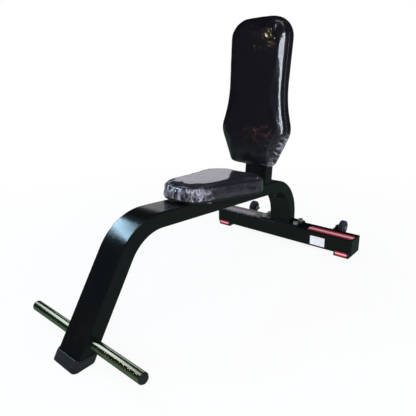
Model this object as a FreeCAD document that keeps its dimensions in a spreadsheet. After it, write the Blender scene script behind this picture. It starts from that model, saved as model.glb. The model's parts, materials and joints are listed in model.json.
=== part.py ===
"""Upright utility bench with a fixed seat, a leaning back pad, a foot bar and two transport wheels.

Frame: +Z up, the bench's front faces -Y, X runs across it.  The origin is on the floor, in the
middle of the bench's footprint.  Every length is in millimetres and every angle in degrees.
"""
import FreeCAD, Part
import math
import os
import Sketcher

Vector = FreeCAD.Vector

SIZES = {
    # bent main tube
    "tube_width": 101.6,
    "tube_depth": 50.8,
    "tube_wall": 3,
    "tube_corner": 5,
    "bend_radius": 160,
    "leg_angle": 56.05,
    "leg_floor_y": -611.2,
    "knee_height": 338,
    "seat_slope": 4.3,
    "rear_leg_y": 493.5,
    # front shoe and foot bar
    "shoe_wall": 5,
    "shoe_height": 31,
    "shoe_floor": 8,
    "shoe_corner": 6,
    "shoe_rim_round": 1.6,
    "bench_half_length": 648,
    "bar_radius": 16,
    "bar_wall": 2.5,
    "bar_length": 508,
    "bar_height": 55,
    "plug_reach": 6,
    "plug_depth": 18,
    # back post
    "post_foot_y": 283,
    "post_lean": 5.8,
    "post_length": 500,
    "cap_plate": 3,
    "cap_plug": 12,
    # boards, cushions and the steel plates that carry them
    "pad_plate": 5,
    "pad_plate_corner": 8,
    "board_thickness": 15,
    "board_inset": 6,
    "cover_gap": 0.5,
    "back_plate_width": 180,
    "back_plate_height": 50,
    "back_plate_low": 200,
    "back_plate_high": 430,
    "back_bolt_x": 70,
    "back_pad_low": 106,
    "back_pad_height": 529,
    "back_pad_thickness": 54,
    "back_bottom_half": 91,
    "back_bottom_corner": 20,
    "back_hip_half": 151,
    "back_hip_height": 131,
    "back_hip_radius": 70,
    "back_waist_half": 119,
    "back_waist_height": 241,
    "back_waist_radius": 420,
    "back_top_half": 126,
    "back_top_corner": 72,
    "back_pad_edge": 16,
    "seat_plate_width": 160,
    "seat_plate_depth": 40,
    "seat_plate_front": -90,
    "seat_plate_rear": 95,
    "seat_bolt_x": 65,
    "seat_centre_y": -9,
    "seat_length": 370,
    "seat_thickness": 55,
    "seat_front_half": 77,
    "seat_front_corner": 62,
    "seat_rear_half": 147,
    "seat_rear_corner": 78,
    "seat_pad_edge": 12,
    # fits that several parts share
    "bolt_gap": 0.5,
    "thread_gap": 0.05,
    # M8 bolts, washers and tee nuts that hold the boards
    "pad_bolt_radius": 4,
    "pad_bolt_length": 20,
    "pad_bolt_flats": 13,
    "pad_bolt_head": 5.3,
    "pad_washer": 1.6,
    "tee_wall": 1,
    "tee_barrel": 11,
    "tee_flange_radius": 11,
    "tee_flange": 1.5,
    # M12 bolts, washers and nuts of the rear flange
    "flange_bolt_radius": 6,
    "flange_bolt_length": 30,
    "flange_bolt_flats": 18,
    "flange_bolt_head": 7.5,
    "flange_washer": 2.5,
    "flange_nut": 10,
    # rear flange and crossbar
    "flange_width": 206,
    "flange_depth": 76,
    "flange_thickness": 8,
    "flange_corner": 12,
    "flange_edge": 1,
    "flange_bolt_x": 82,
    "flange_bolt_y": 24,
    "crossbar_length": 700,
    "crossbar_depth": 80,
    "crossbar_height": 70,
    "crossbar_corner": 5,
    "crossbar_bottom": 12,
    # rear shoes with their inserts and screws
    "rear_shoe_x": 308,
    "rear_shoe_length": 66,
    "rear_shoe_lip": 5,
    "rear_shoe_height": 24,
    "rear_shoe_corner": 4,
    "shoe_screw_x": 20,
    "shoe_screw_radius": 2.5,
    "shoe_screw_length": 16,
    "shoe_screw_head_radius": 4.5,
    "shoe_screw_head": 3,
    "shoe_screw_seat": 6,
    "insert_width": 50,
    "insert_height": 16,
    "insert_thickness": 1.6,
    "insert_recess": 1,
    "insert_corner": 4,
    "insert_z": 13.5,
    # self-adhesive strips and label
    "strip_length": 200,
    "strip_width": 44,
    "strip_corner": 8,
    "strip_x": 243,
    "strip_y": -11,
    "sticker": 0.4,
    "label_width": 67,
    "label_height": 40,
    "label_corner": 3,
    "label_x": 198,
    "label_z": 41,
    # transport wheels
    "wheel_x": 241,
    "wheel_height": 64,
    "wheel_radius": 32.5,
    "wheel_width": 22,
    "tyre_depth": 8,
    "tyre_crown": 5,
    "hub_wall": 4,
    "hub_web": 8.8,
    "rim_inset": 1,
    "bush_radius": 7.5,
    "axle_radius": 5,
    "axle_gap": 0.05,
    "axle_flats": 16,
    "axle_head": 6,
    "axle_nut": 8,
    "axle_tail": 4.5,
    "side_gap": 0.5,
    "lug_thickness": 6,
    "lug_radius": 13,
    "lug_root_low": 35,
    "lug_root_high": 10,
    "axle_washer": 1.5,
}

# Places that follow from the driving dimensions, as expressions.
KNEE_Y = "(size.leg_floor_y + size.knee_height / tan(size.leg_angle))"
CROSSBAR_TOP = "(size.crossbar_bottom + size.crossbar_height)"
FLANGE_TOP = f"({CROSSBAR_TOP} + size.flange_thickness)"
WHEEL_Y = "(size.bench_half_length - size.wheel_radius)"
BAR_Y = "(size.leg_floor_y + size.bar_height / tan(size.leg_angle))"
TEE_BARREL_RADIUS = "(size.pad_bolt_radius + size.tee_wall)"
SHOE_SCREW_X = [f"{side}(size.rear_shoe_x {inner} size.shoe_screw_x)"
                for side in ("-", "") for inner in "-+"]

# Distances along a wheel's axle from the middle of the wheel towards the middle of the bench.
HALF_WHEEL = "size.wheel_width / 2"
HEAD_FACE = f"({HALF_WHEEL} + size.side_gap)"
LUG_FACE = f"({HEAD_FACE} + size.axle_washer)"
LUG_BACK = f"({LUG_FACE} + size.lug_thickness)"
NUT_FACE = f"({LUG_BACK} + size.axle_washer)"
AXLE_END = f"({NUT_FACE} + size.axle_nut + size.axle_tail)"


def seat_line(y):
    """Height of the main tube's centreline at a place under the seat."""
    return f"(size.knee_height - ({y} - {KNEE_Y}) * tan(size.seat_slope))"


# Frames that sub-parts are placed in: y, z and turn about X.  In "back" and "seat" the plane z = 0
# is the underside of the pad's board, and +z goes through the cushion.
CARRY = "(size.tube_depth / 2 + size.pad_plate)"
FRAMES = {
    "floor": ("0", "0", "0"),
    "post": ("size.post_foot_y", seat_line("size.post_foot_y"), "-size.post_lean"),
    "back": (f"size.post_foot_y - {CARRY} * cos(size.post_lean) + size.back_pad_low * sin(size.post_lean)",
             f"{seat_line('size.post_foot_y')} + {CARRY} * sin(size.post_lean)"
             f" + size.back_pad_low * cos(size.post_lean)", "90 - size.post_lean"),
    "seat": (f"size.seat_centre_y + {CARRY} * sin(size.seat_slope)",
             f"{seat_line('size.seat_centre_y')} + {CARRY} * cos(size.seat_slope)",
             "-size.seat_slope"),
    "crossbar": ("size.rear_leg_y", CROSSBAR_TOP, "0"),
    "wheel": (WHEEL_Y, "size.wheel_height", "0"),
}

SIDES = (("left", "-"), ("right", ""))
LOOSE = 0.2  # how far off an edge may lie and still count as found
HEX_SIDES = 6

DOC = FreeCAD.newDocument("utility_bench")
NODES = []


def make_sheet():
    """The driving dimensions, one aliased cell each."""
    sheet = DOC.addObject("Spreadsheet::Sheet", "size")
    for row, (alias, number) in enumerate(SIZES.items(), start=1):
        sheet.set(f"A{row}", alias)
        sheet.set(f"B{row}", str(number))
        sheet.setAlias(f"B{row}", alias)
    DOC.recompute()
    return sheet


SHEET = make_sheet()


# ---------------------------------------------------------------- helpers: binding and placing

def value(expression):
    """The number that an expression over the sheet gives now."""
    return float(SHEET.evalExpression(str(expression)))


def bind(item, **expressions):
    """Bind properties of an object to expressions over the sheet."""
    for name, expression in expressions.items():
        item.setExpression(name, str(expression))


def place(item, frame="floor", x="0", y="0", z="0"):
    """Put an object at x, y, z in one of the named frames."""
    frame_y, frame_z, turn = FRAMES[frame]
    item.setExpression("Placement.Base.x", x)
    item.setExpression("Placement.Base.y", f"{frame_y} + ({y}) * cos({turn}) - ({z}) * sin({turn})")
    item.setExpression("Placement.Base.z", f"{frame_z} + ({y}) * sin({turn}) + ({z}) * cos({turn})")
    if turn != "0":
        item.setExpression("Placement.Rotation.Axis.x", "1")
        item.setExpression("Placement.Rotation.Axis.y", "0")
        item.setExpression("Placement.Rotation.Axis.z", "0")
        item.setExpression("Placement.Rotation.Angle", turn)


def node(item, label, frame=None, **where):
    """Register an object as a sub-part under its own label."""
    item.Label = label
    if frame:
        place(item, frame, **where)
    NODES.append(item)
    return item


def new_body(name):
    return DOC.addObject("PartDesign::Body", name)


def new_sketch(body, name, role, z="0", y="0"):
    """A sketch on one of the body's own origin planes, lifted by z and moved by y within it."""
    plane = next(item for item in body.Origin.OriginFeatures if item.Role == role)
    sketch = body.newObject("Sketcher::SketchObject", name)
    sketch.AttachmentSupport = [(plane, "")]
    sketch.MapMode = "FlatFace"
    sketch.setExpression("AttachmentOffset.Base.z", z)
    sketch.setExpression("AttachmentOffset.Base.y", y)
    DOC.recompute()
    return sketch


# ---------------------------------------------------------------- helpers: sketches

def dimension(sketch, kind, *where, to):
    """A dimension bound to an expression."""
    index = sketch.addConstraint(Sketcher.Constraint(kind, *where, value(to)))
    sketch.setExpression(f"Constraints[{index}]", str(to))


def polygon(sketch, corners):
    """A closed outline; each corner is a pair of expressions."""
    points = [Vector(value(x), value(y), 0) for x, y in corners]
    first = sketch.GeometryCount
    count = len(points)
    for index in range(count):
        sketch.addGeometry(Part.LineSegment(points[index], points[(index + 1) % count]))
    for index in range(count):
        following = first + (index + 1) % count
        sketch.addConstraint(Sketcher.Constraint("Coincident", first + index, 2, following, 1))
    for index, (x, y) in enumerate(corners):
        dimension(sketch, "DistanceX", first + index, 1, to=x)
        dimension(sketch, "DistanceY", first + index, 1, to=y)


def circle(sketch, x, y, radius):
    centre = Vector(value(x), value(y), 0)
    index = sketch.addGeometry(Part.Circle(centre, Vector(0, 0, 1), value(radius)))
    dimension(sketch, "DistanceX", index, 3, to=x)
    dimension(sketch, "DistanceY", index, 3, to=y)
    dimension(sketch, "Radius", index, to=radius)


def rectangle(sketch, width, height, x="0", y="0"):
    """A sharp-cornered rectangle centred on x, y."""
    left, right = f"{x} - ({width}) / 2", f"{x} + ({width}) / 2"
    low, high = f"{y} - ({height}) / 2", f"{y} + ({height}) / 2"
    polygon(sketch, [(left, low), (right, low), (right, high), (left, high)])


def rounded_rectangle(sketch, width, height, radius):
    """A rectangle with four equal round corners, centred on the sketch's origin."""
    half_w, half_h, r = value(width) / 2, value(height) / 2, value(radius)
    first = sketch.GeometryCount
    corners = [(half_w - r, -half_h + r, -90), (half_w - r, half_h - r, 0),
               (-half_w + r, half_h - r, 90), (-half_w + r, -half_h + r, 180)]
    arcs = [corner_arc(x, y, r, start) for x, y, start in corners]
    for index, arc in enumerate(arcs):
        sketch.addGeometry(Part.LineSegment(arcs[index - 1].EndPoint, arc.StartPoint))
        sketch.addGeometry(arc)
    for index in range(4):
        line, arc = first + 2 * index, first + 2 * index + 1
        following = first + (2 * index + 2) % 8
        direction = "Vertical" if index % 2 else "Horizontal"
        sketch.addConstraint(Sketcher.Constraint(direction, line))
        sketch.addConstraint(Sketcher.Constraint("Tangent", line, 2, arc, 1))
        sketch.addConstraint(Sketcher.Constraint("Tangent", arc, 2, following, 1))
        if index:
            sketch.addConstraint(Sketcher.Constraint("Equal", first + 1, arc))
    sketch.addConstraint(Sketcher.Constraint("Symmetric", first + 1, 3, first + 5, 3, -1, 1))
    dimension(sketch, "Radius", first + 1, to=radius)
    dimension(sketch, "DistanceX", first + 5, 3, first + 1, 3, to=f"{width} - 2 * ({radius})")
    dimension(sketch, "DistanceY", first + 1, 3, first + 5, 3, to=f"{height} - 2 * ({radius})")


def corner_arc(x, y, radius, start_degrees):
    """A quarter turn about x, y."""
    start = math.radians(start_degrees)
    whole = Part.Circle(Vector(x, y, 0), Vector(0, 0, 1), radius)
    return Part.ArcOfCircle(whole, start, start + math.pi / 2)


# ---------------------------------------------------------------- helpers: body features

def pad(body, sketch, length, symmetric=False, reverse=False):
    feature = body.newObject("PartDesign::Pad", f"{sketch.Name}_pad")
    feature.Profile = sketch
    feature.SideType = "Symmetric" if symmetric else "One side"
    feature.Reversed = reverse
    bind(feature, Length=length)
    DOC.recompute()
    return feature


def cut(body, sketch, length, symmetric=False, reverse=False):
    """A pocket that has to take material away."""
    before = body.Shape.Volume
    feature = body.newObject("PartDesign::Pocket", f"{sketch.Name}_cut")
    feature.Profile = sketch
    feature.SideType = "Symmetric" if symmetric else "One side"
    feature.Reversed = reverse
    bind(feature, Length=length)
    DOC.recompute()
    if body.Shape.Volume >= before:
        raise RuntimeError(f"{feature.Name} cut nothing")
    return feature


def turn_about(body, sketch, axis):
    """A full revolution about one of the sketch's axes, H_Axis or V_Axis."""
    feature = body.newObject("PartDesign::Revolution", f"{sketch.Name}_turned")
    feature.Profile = sketch
    feature.ReferenceAxis = (sketch, [axis])
    feature.Angle = 360
    DOC.recompute()
    return feature


def round_edges(body, radius, wanted):
    """Fillet every edge of the body's tip that passes the test."""
    base = body.Tip
    names = [f"Edge{number}" for number, edge in enumerate(base.Shape.Edges, start=1) if wanted(edge)]
    feature = body.newObject("PartDesign::Fillet", f"{base.Name}_rounded")
    feature.Base = (base, names)
    bind(feature, Radius=radius)
    DOC.recompute()
    return feature


def upright_edge_at(x, y):
    """A test for the edges that run along Z through x, y and -x, y."""
    def wanted(edge):
        box = edge.BoundBox
        near = abs(abs(box.Center.x) - value(x)) < LOOSE and abs(box.Center.y - value(y)) < LOOSE
        return near and box.XLength < LOOSE and box.YLength < LOOSE
    return wanted


def edge_at_height(z):
    """A test for the edges that lie level at one height."""
    def wanted(edge):
        box = edge.BoundBox
        return abs(box.ZMin - value(z)) < LOOSE and abs(box.ZMax - value(z)) < LOOSE
    return wanted


# ---------------------------------------------------------------- helpers: fasteners

def round_bar(name, radius, height, z="0", x="0", y="0"):
    bar = DOC.addObject("Part::Cylinder", name)
    bind(bar, Radius=radius, Height=height)
    place(bar, x=x, y=y, z=z)
    return bar


def hexagon(name, across_flats, height, z="0"):
    """A hexagonal prism, given its width across the flats."""
    prism = DOC.addObject("Part::Prism", name)
    prism.Polygon = HEX_SIDES
    bind(prism, Circumradius=f"{across_flats} / (2 * cos(180 / {HEX_SIDES}))", Height=height)
    place(prism, z=z)
    return prism


def join(name, base, tool):
    fused = DOC.addObject("Part::Fuse", name)
    fused.Base = base
    fused.Tool = tool
    return fused


def subtract(name, base, tool):
    rest = DOC.addObject("Part::Cut", name)
    rest.Base = base
    rest.Tool = tool
    return rest


def washer(name, radius, hole, thickness, z="0"):
    disc = round_bar(f"{name}_disc", radius, thickness, z)
    bore = round_bar(f"{name}_bore", hole, thickness, z)
    return subtract(name, disc, bore)


def hex_bolt(name, radius, shank, across_flats, head):
    """A bolt whose shank runs up from z = 0 and whose head hangs below."""
    stem = round_bar(f"{name}_shank", radius, shank)
    cap = hexagon(f"{name}_head", across_flats, head, z=f"-({head})")
    return join(name, stem, cap)


def hex_nut(name, radius, across_flats, height, z="0"):
    block = hexagon(f"{name}_block", across_flats, height, z)
    bore = round_bar(f"{name}_bore", f"{radius} + size.thread_gap", height, z)
    return subtract(name, block, bore)


def copies(label, source, places, frame, turn=None):
    """One node holding a separate copy of the source at each place of a frame."""
    links = []
    for index, (x, y, z) in enumerate(places):
        link = DOC.addObject("App::Link", f"{label}_{index + 1}")
        link.LinkedObject = source
        link.LinkTransform = True
        if turn:
            link.Placement.Rotation = turn
        link.setExpression("Placement.Base.x", x)
        link.setExpression("Placement.Base.y", y)
        link.setExpression("Placement.Base.z", z)
        links.append(link)
    group = DOC.addObject("Part::Compound", label)
    group.Links = links
    return node(group, label, frame)


def four_places(x, y_low, y_high, z):
    """Left and right at each of two stations."""
    return [(f"{sign}({x})", y, z) for sign in ("-", "") for y in (y_low, y_high)]


# ---------------------------------------------------------------- main tube, shoe and foot bar

def bend_arc(before, corner, after, radius):
    """The arc that rounds a corner of a path that turns to its left."""
    back = (before - corner).normalize()
    ahead = (after - corner).normalize()
    half_angle = back.getAngle(ahead) / 2
    reach = radius / math.tan(half_angle)
    centre = corner + (back + ahead).normalize() * (radius / math.sin(half_angle))
    start, end = corner + back * reach - centre, corner + ahead * reach - centre
    turns = [math.atan2(spoke.y, spoke.x) for spoke in (start, end)]
    return Part.ArcOfCircle(Part.Circle(centre, Vector(0, 0, 1), radius), *turns)


def tube_path(body):
    """Centreline of the bent tube: up the rear leg, along the seat, over the knee and down."""
    stations = [("size.rear_leg_y", FLANGE_TOP), ("size.rear_leg_y", seat_line("size.rear_leg_y")),
                (KNEE_Y, "size.knee_height"), ("size.leg_floor_y", "0")]
    path = new_sketch(body, "tube_path", "YZ_Plane")
    rear, heel, knee, toe = [Vector(value(y), value(z), 0) for y, z in stations]
    radius = value("size.bend_radius")
    heel_arc = bend_arc(rear, heel, knee, radius)
    knee_arc = bend_arc(heel, knee, toe, radius)
    for stretch in (Part.LineSegment(rear, heel_arc.StartPoint), heel_arc,
                    Part.LineSegment(heel_arc.EndPoint, knee_arc.StartPoint), knee_arc,
                    Part.LineSegment(knee_arc.EndPoint, toe)):
        path.addGeometry(stretch)
    for index in range(4):
        path.addConstraint(Sketcher.Constraint("Tangent", index, 2, index + 1, 1))
    dimension(path, "Radius", 1, to="size.bend_radius")
    dimension(path, "Radius", 3, to="size.bend_radius")
    for corner, (y, z), lines in ((heel, stations[1], (0, 2)), (knee, stations[2], (2, 4))):
        mark = path.addGeometry(Part.Point(corner), True)
        dimension(path, "DistanceX", mark, 1, to=y)
        dimension(path, "DistanceY", mark, 1, to=z)
        for line in lines:
            path.addConstraint(Sketcher.Constraint("PointOnObject", mark, 1, line))
    for line, end, (y, z) in ((0, 1, stations[0]), (4, 2, stations[3])):
        dimension(path, "DistanceX", line, end, to=y)
        dimension(path, "DistanceY", line, end, to=z)
    return path


def hollow_section(sketch):
    """The rectangular section of the main tube and the post."""
    rounded_rectangle(sketch, "size.tube_width", "size.tube_depth", "size.tube_corner")
    rounded_rectangle(sketch, "size.tube_width - 2 * size.tube_wall",
                      "size.tube_depth - 2 * size.tube_wall", "size.tube_corner - size.tube_wall")


def main_tube():
    body = new_body("main_tube_body")
    path = tube_path(body)
    section = new_sketch(body, "tube_section", "XY_Plane", z=FLANGE_TOP, y="size.rear_leg_y")
    hollow_section(section)
    sweep = body.newObject("PartDesign::AdditivePipe", "tube_sweep")
    sweep.Profile = section
    sweep.Spine = path
    DOC.recompute()
    trim = new_sketch(body, "foot_trim", "YZ_Plane")
    rectangle(trim, "4 * size.tube_depth", "4 * size.tube_depth", x="size.leg_floor_y",
              y="size.shoe_floor - 2 * size.tube_depth")
    cut(body, trim, "2 * size.tube_width", symmetric=True)
    hole = new_sketch(body, "bar_hole", "YZ_Plane")
    circle(hole, BAR_Y, "size.bar_height", "size.bar_radius + size.thread_gap")
    cut(body, hole, "2 * size.tube_width", symmetric=True)
    node(body, "main_tube")


def leg_face(z, offset):
    """Y of the slanting leg's face at a height, the offset measured square to its centreline."""
    return f"size.leg_floor_y + ({z}) / tan(size.leg_angle) + ({offset}) / sin(size.leg_angle)"


def leg_slice(sketch, reach, low, high):
    """The slanting leg between two heights, its faces at a distance from its centreline."""
    polygon(sketch, [(leg_face(low, f"-({reach})"), low), (leg_face(low, reach), low),
                     (leg_face(high, reach), high), (leg_face(high, f"-({reach})"), high)])


def is_level(edge):
    return edge.BoundBox.ZLength < LOOSE


def front_foot():
    """A rubber sleeve that follows the slanting leg and closes its lower end."""
    body = new_body("front_foot_body")
    sleeve = new_sketch(body, "shoe_sleeve", "YZ_Plane")
    leg_slice(sleeve, "size.tube_depth / 2 + size.shoe_wall", "0", "size.shoe_height")
    pad(body, sleeve, "size.tube_width + 2 * size.shoe_wall", symmetric=True)
    round_edges(body, "size.shoe_corner", lambda edge: not is_level(edge))
    round_edges(body, "size.shoe_rim_round", edge_at_height("size.shoe_height"))
    socket = new_sketch(body, "shoe_socket", "YZ_Plane")
    leg_slice(socket, "size.tube_depth / 2 + size.thread_gap", "size.shoe_floor",
              "2 * size.shoe_height")
    cut(body, socket, "size.tube_width + 2 * size.thread_gap", symmetric=True)
    node(body, "front_foot")


def foot_bar():
    body = new_body("foot_bar_body")
    ring = new_sketch(body, "bar_ring", "YZ_Plane")
    circle(ring, "0", "0", "size.bar_radius")
    circle(ring, "0", "0", "size.bar_radius - size.bar_wall")
    pad(body, ring, "size.bar_length", symmetric=True)
    node(body, "foot_bar", "floor", y=BAR_Y, z="size.bar_height")


def foot_bar_plugs():
    """A domed plug with a stem, turned about its own axis, one in each end of the bar."""
    body = new_body("bar_plug")
    profile = new_sketch(body, "plug_profile", "XZ_Plane")
    stem = "size.bar_radius - size.bar_wall - size.thread_gap"
    face = "size.bar_radius - size.plug_reach / 2"
    polygon(profile, [("0", "-size.plug_depth"), (stem, "-size.plug_depth"), (stem, "0"),
                      ("size.bar_radius", "0"), ("size.bar_radius", "size.plug_reach / 4"),
                      (face, "size.plug_reach"), ("0", "size.plug_reach")])
    turn_about(body, profile, "V_Axis")
    group = DOC.addObject("Part::Compound", "foot_bar_plugs")
    for name, sign, angle in (("left", "-", -90), ("right", "", 90)):
        link = DOC.addObject("App::Link", f"bar_plug_{name}")
        link.LinkedObject = body
        link.Placement.Rotation = FreeCAD.Rotation(Vector(0, 1, 0), angle)
        link.setExpression("Placement.Base.x", f"{sign}size.bar_length / 2")
        group.Links = group.Links + [link]
    node(group, "foot_bar_plugs", "floor", y=BAR_Y, z="size.bar_height")


# ---------------------------------------------------------------- back post and caps

def back_post():
    body = new_body("back_post_body")
    section = new_sketch(body, "post_section", "XY_Plane")
    hollow_section(section)
    pad(body, section, "size.post_length")
    saddle = new_sketch(body, "post_saddle", "YZ_Plane")
    tilt = "tan(size.post_lean - size.seat_slope)"
    half, top = "size.tube_depth", "size.tube_depth / 2"
    lift = "(size.tube_depth / 2) / cos(size.post_lean - size.seat_slope)"
    polygon(saddle, [(f"-{half}", f"-{top}"), (half, f"-{top}"),
                     (half, f"{lift} + {half} * {tilt}"), (f"-{half}", f"{lift} - {half} * {tilt}")])
    cut(body, saddle, "2 * size.tube_width", symmetric=True)
    node(body, "back_post", "post")


def tube_cap(name, width, height, corner, wall):
    """A plastic end cap: a plate that covers the tube's end and a hollow plug inside it."""
    body = new_body(f"{name}_body")
    plate = new_sketch(body, f"{name}_plate", "XY_Plane")
    rounded_rectangle(plate, width, height, corner)
    pad(body, plate, "size.cap_plate")
    plug = new_sketch(body, f"{name}_plug", "XY_Plane")
    inner_corner = f"{corner} - {wall}"
    gap = f"2 * ({wall} + size.thread_gap)"
    inside = f"2 * ({wall} + size.cap_plate)"
    rounded_rectangle(plug, f"{width} - {gap}", f"{height} - {gap}", inner_corner)
    rectangle(plug, f"{width} - {inside}", f"{height} - {inside}")
    pad(body, plug, "size.cap_plug", reverse=True)
    round_edges(body, "size.cap_plate / 2", edge_at_height("size.cap_plate"))
    return body


def post_cap():
    body = tube_cap("post_cap", "size.tube_width", "size.tube_depth", "size.tube_corner",
                    "size.tube_wall")
    node(body, "post_cap", "post", z="size.post_length")


def crossbar_caps():
    for name, sign in SIDES:
        body = tube_cap(f"crossbar_cap_{name}", "size.crossbar_depth", "size.crossbar_height",
                        "size.crossbar_corner", "size.tube_wall")
        outward = FreeCAD.Rotation(Vector(0, 0, 1), Vector(1, 0, 0))
        if name == "left":
            outward = FreeCAD.Rotation(Vector(0, 0, 1), 180) * outward
        spin = FreeCAD.Rotation(Vector(0, 0, 1), 90)
        body.Placement.Rotation = outward * spin
        node(body, f"crossbar_cap_{name}", "crossbar", z="-size.crossbar_height / 2",
             x=f"{sign}(size.crossbar_length / 2 - size.cap_plate)")


# ---------------------------------------------------------------- boards, cushions and plates

def back_outline(sketch, inset):
    """The back pad's front view, narrow at its foot, widest at the hip, drawn in at the waist."""
    half = [("back_bottom_half", "0"), ("back_hip_half", "size.back_hip_height"),
            ("back_waist_half", "size.back_waist_height"),
            ("back_top_half", "size.back_pad_height")]
    lifts = [f"+ ({inset})", "+ 0", "+ 0", f"- ({inset})"]
    right = [(f"size.{name} - ({inset})", f"{z} {lift}") for (name, z), lift in zip(half, lifts)]
    left = [(f"-({x})", z) for x, z in reversed(right)]
    polygon(sketch, right + left)


def seat_outline(sketch, inset):
    """The seat's plan, tapering to its front."""
    front = f"-size.seat_length / 2 + ({inset})"
    rear = f"size.seat_length / 2 - ({inset})"
    narrow = f"size.seat_front_half - ({inset})"
    wide = f"size.seat_rear_half - ({inset})"
    polygon(sketch, [(narrow, front), (wide, rear), (f"-({wide})", rear), (f"-({narrow})", front)])


def rounded_slab(name, outline, inset, thickness, corners):
    """A flat slab with a rounded outline; corners lists x, y and radius of the corners to round."""
    body = new_body(name)
    sketch = new_sketch(body, f"{name}_outline", "XY_Plane")
    outline(sketch, inset)
    pad(body, sketch, thickness)
    for x, y, radius in corners:
        round_edges(body, radius, upright_edge_at(x, y))
    return body


def back_corners(inset):
    return [(f"size.back_bottom_half - ({inset})", inset, f"size.back_bottom_corner - ({inset})"),
            (f"size.back_hip_half - ({inset})", "size.back_hip_height",
             f"size.back_hip_radius - ({inset})"),
            (f"size.back_waist_half - ({inset})", "size.back_waist_height",
             f"size.back_waist_radius + ({inset})"),
            (f"size.back_top_half - ({inset})", f"size.back_pad_height - ({inset})",
             f"size.back_top_corner - ({inset})")]


def seat_corners(inset):
    return [(f"size.seat_front_half - ({inset})", f"-size.seat_length / 2 + ({inset})",
             f"size.seat_front_corner - ({inset})"),
            (f"size.seat_rear_half - ({inset})", f"size.seat_length / 2 - ({inset})",
             f"size.seat_rear_corner - ({inset})")]


PADS = {
    "back": {"label": "back_pad", "outline": back_outline, "corners": back_corners,
             "thickness": "size.back_pad_thickness", "edge": "size.back_pad_edge",
             "bolt_x": "size.back_bolt_x",
             "stations": ("(size.back_plate_low - size.back_pad_low)",
                          "(size.back_plate_high - size.back_pad_low)"),
             "plate": ("size.back_plate_width", "size.back_plate_height")},
    "seat": {"label": "seat_pad", "outline": seat_outline, "corners": seat_corners,
             "thickness": "size.seat_thickness", "edge": "size.seat_pad_edge",
             "bolt_x": "size.seat_bolt_x",
             "stations": ("size.seat_plate_front", "size.seat_plate_rear"),
             "plate": ("size.seat_plate_width", "size.seat_plate_depth")},
}


def cushion(frame):
    """The foam and its cover, with a pocket underneath that the board fills."""
    spec = PADS[frame]
    label = spec["label"]
    block = rounded_slab(f"{label}_block", spec["outline"], "0", spec["thickness"],
                         spec["corners"]("0"))
    round_edges(block, spec["edge"], edge_at_height(spec["thickness"]))
    room = "size.board_inset - size.cover_gap"
    cavity = rounded_slab(f"{label}_cavity", spec["outline"], room,
                          "size.board_thickness + size.cover_gap", spec["corners"](room))
    node(subtract(label, block, cavity), label, frame)


def board(frame):
    """The plywood board, bored for the barrels and flanges of its tee nuts."""
    spec = PADS[frame]
    label = f"{spec['label']}_board"
    body = rounded_slab(f"{label}_body", spec["outline"], "size.board_inset",
                        "size.board_thickness", spec["corners"]("size.board_inset"))
    for name, radius, depth in (("barrel", TEE_BARREL_RADIUS, "2 * size.board_thickness"),
                                ("recess", "size.tee_flange_radius", "size.tee_flange")):
        bores = new_sketch(body, f"{label}_{name}_bores", "XY_Plane", z="size.board_thickness")
        for x, y, _ in four_places(spec["bolt_x"], *spec["stations"], z="0"):
            circle(bores, x, y, f"{radius} + 2 * size.thread_gap")
        cut(body, bores, depth)
    node(body, label, frame)


def pad_plates(frame):
    """Two flat plates that carry the board, each drilled for a pair of bolts."""
    spec = PADS[frame]
    label = f"{spec['label']}_plates"
    width, depth = spec["plate"]
    body = new_body(f"{label}_body")
    sketch = new_sketch(body, f"{label}_outline", "XY_Plane")
    rounded_rectangle(sketch, width, depth, "size.pad_plate_corner")
    for sign in ("-", ""):
        circle(sketch, f"{sign}{spec['bolt_x']}", "0", "size.pad_bolt_radius + size.bolt_gap")
    pad(body, sketch, "size.pad_plate")
    copies(label, body, [("0", y, "-size.pad_plate") for y in spec["stations"]], frame)


def pad_fasteners(frame):
    """Hexagon bolts through the plates, their washers, and the tee nuts in the board."""
    spec = PADS[frame]
    label = spec["label"]
    radius = "size.pad_bolt_radius"
    bolt = hex_bolt(f"{label}_bolt", radius, "size.pad_bolt_length", "size.pad_bolt_flats",
                    "size.pad_bolt_head")
    ring = washer(f"{label}_washer", f"2 * {radius}", f"{radius} + size.bolt_gap / 2",
                  "size.pad_washer")
    barrel = round_bar(f"{label}_barrel", TEE_BARREL_RADIUS, "size.tee_barrel",
                       z="-size.tee_barrel")
    flange = round_bar(f"{label}_flange", "size.tee_flange_radius", "size.tee_flange")
    thread = round_bar(f"{label}_thread", f"{radius} + size.thread_gap", "2 * size.board_thickness",
                       z="-size.board_thickness")
    tee = subtract(f"{label}_tee", join(f"{label}_tee_block", barrel, flange), thread)
    under = "-size.pad_plate - size.pad_washer"
    for name, source, z in (("bolts", bolt, under), ("washers", ring, under),
                            ("tee_nuts", tee, "size.board_thickness - size.tee_flange")):
        copies(f"{label}_{name}", source, four_places(spec["bolt_x"], *spec["stations"], z), frame)


# ---------------------------------------------------------------- rear flange and crossbar

FLANGE_PLACES = four_places("size.flange_bolt_x", "-size.flange_bolt_y", "size.flange_bolt_y", "0")


def rear_flange():
    body = new_body("rear_flange_body")
    sketch = new_sketch(body, "flange_outline", "XY_Plane")
    rounded_rectangle(sketch, "size.flange_width", "size.flange_depth", "size.flange_corner")
    for x, y, _ in FLANGE_PLACES:
        circle(sketch, x, y, "size.flange_bolt_radius + size.bolt_gap")
    pad(body, sketch, "size.flange_thickness")
    round_edges(body, "size.flange_edge", edge_at_height("size.flange_thickness"))
    node(body, "rear_flange", "crossbar")


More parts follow.
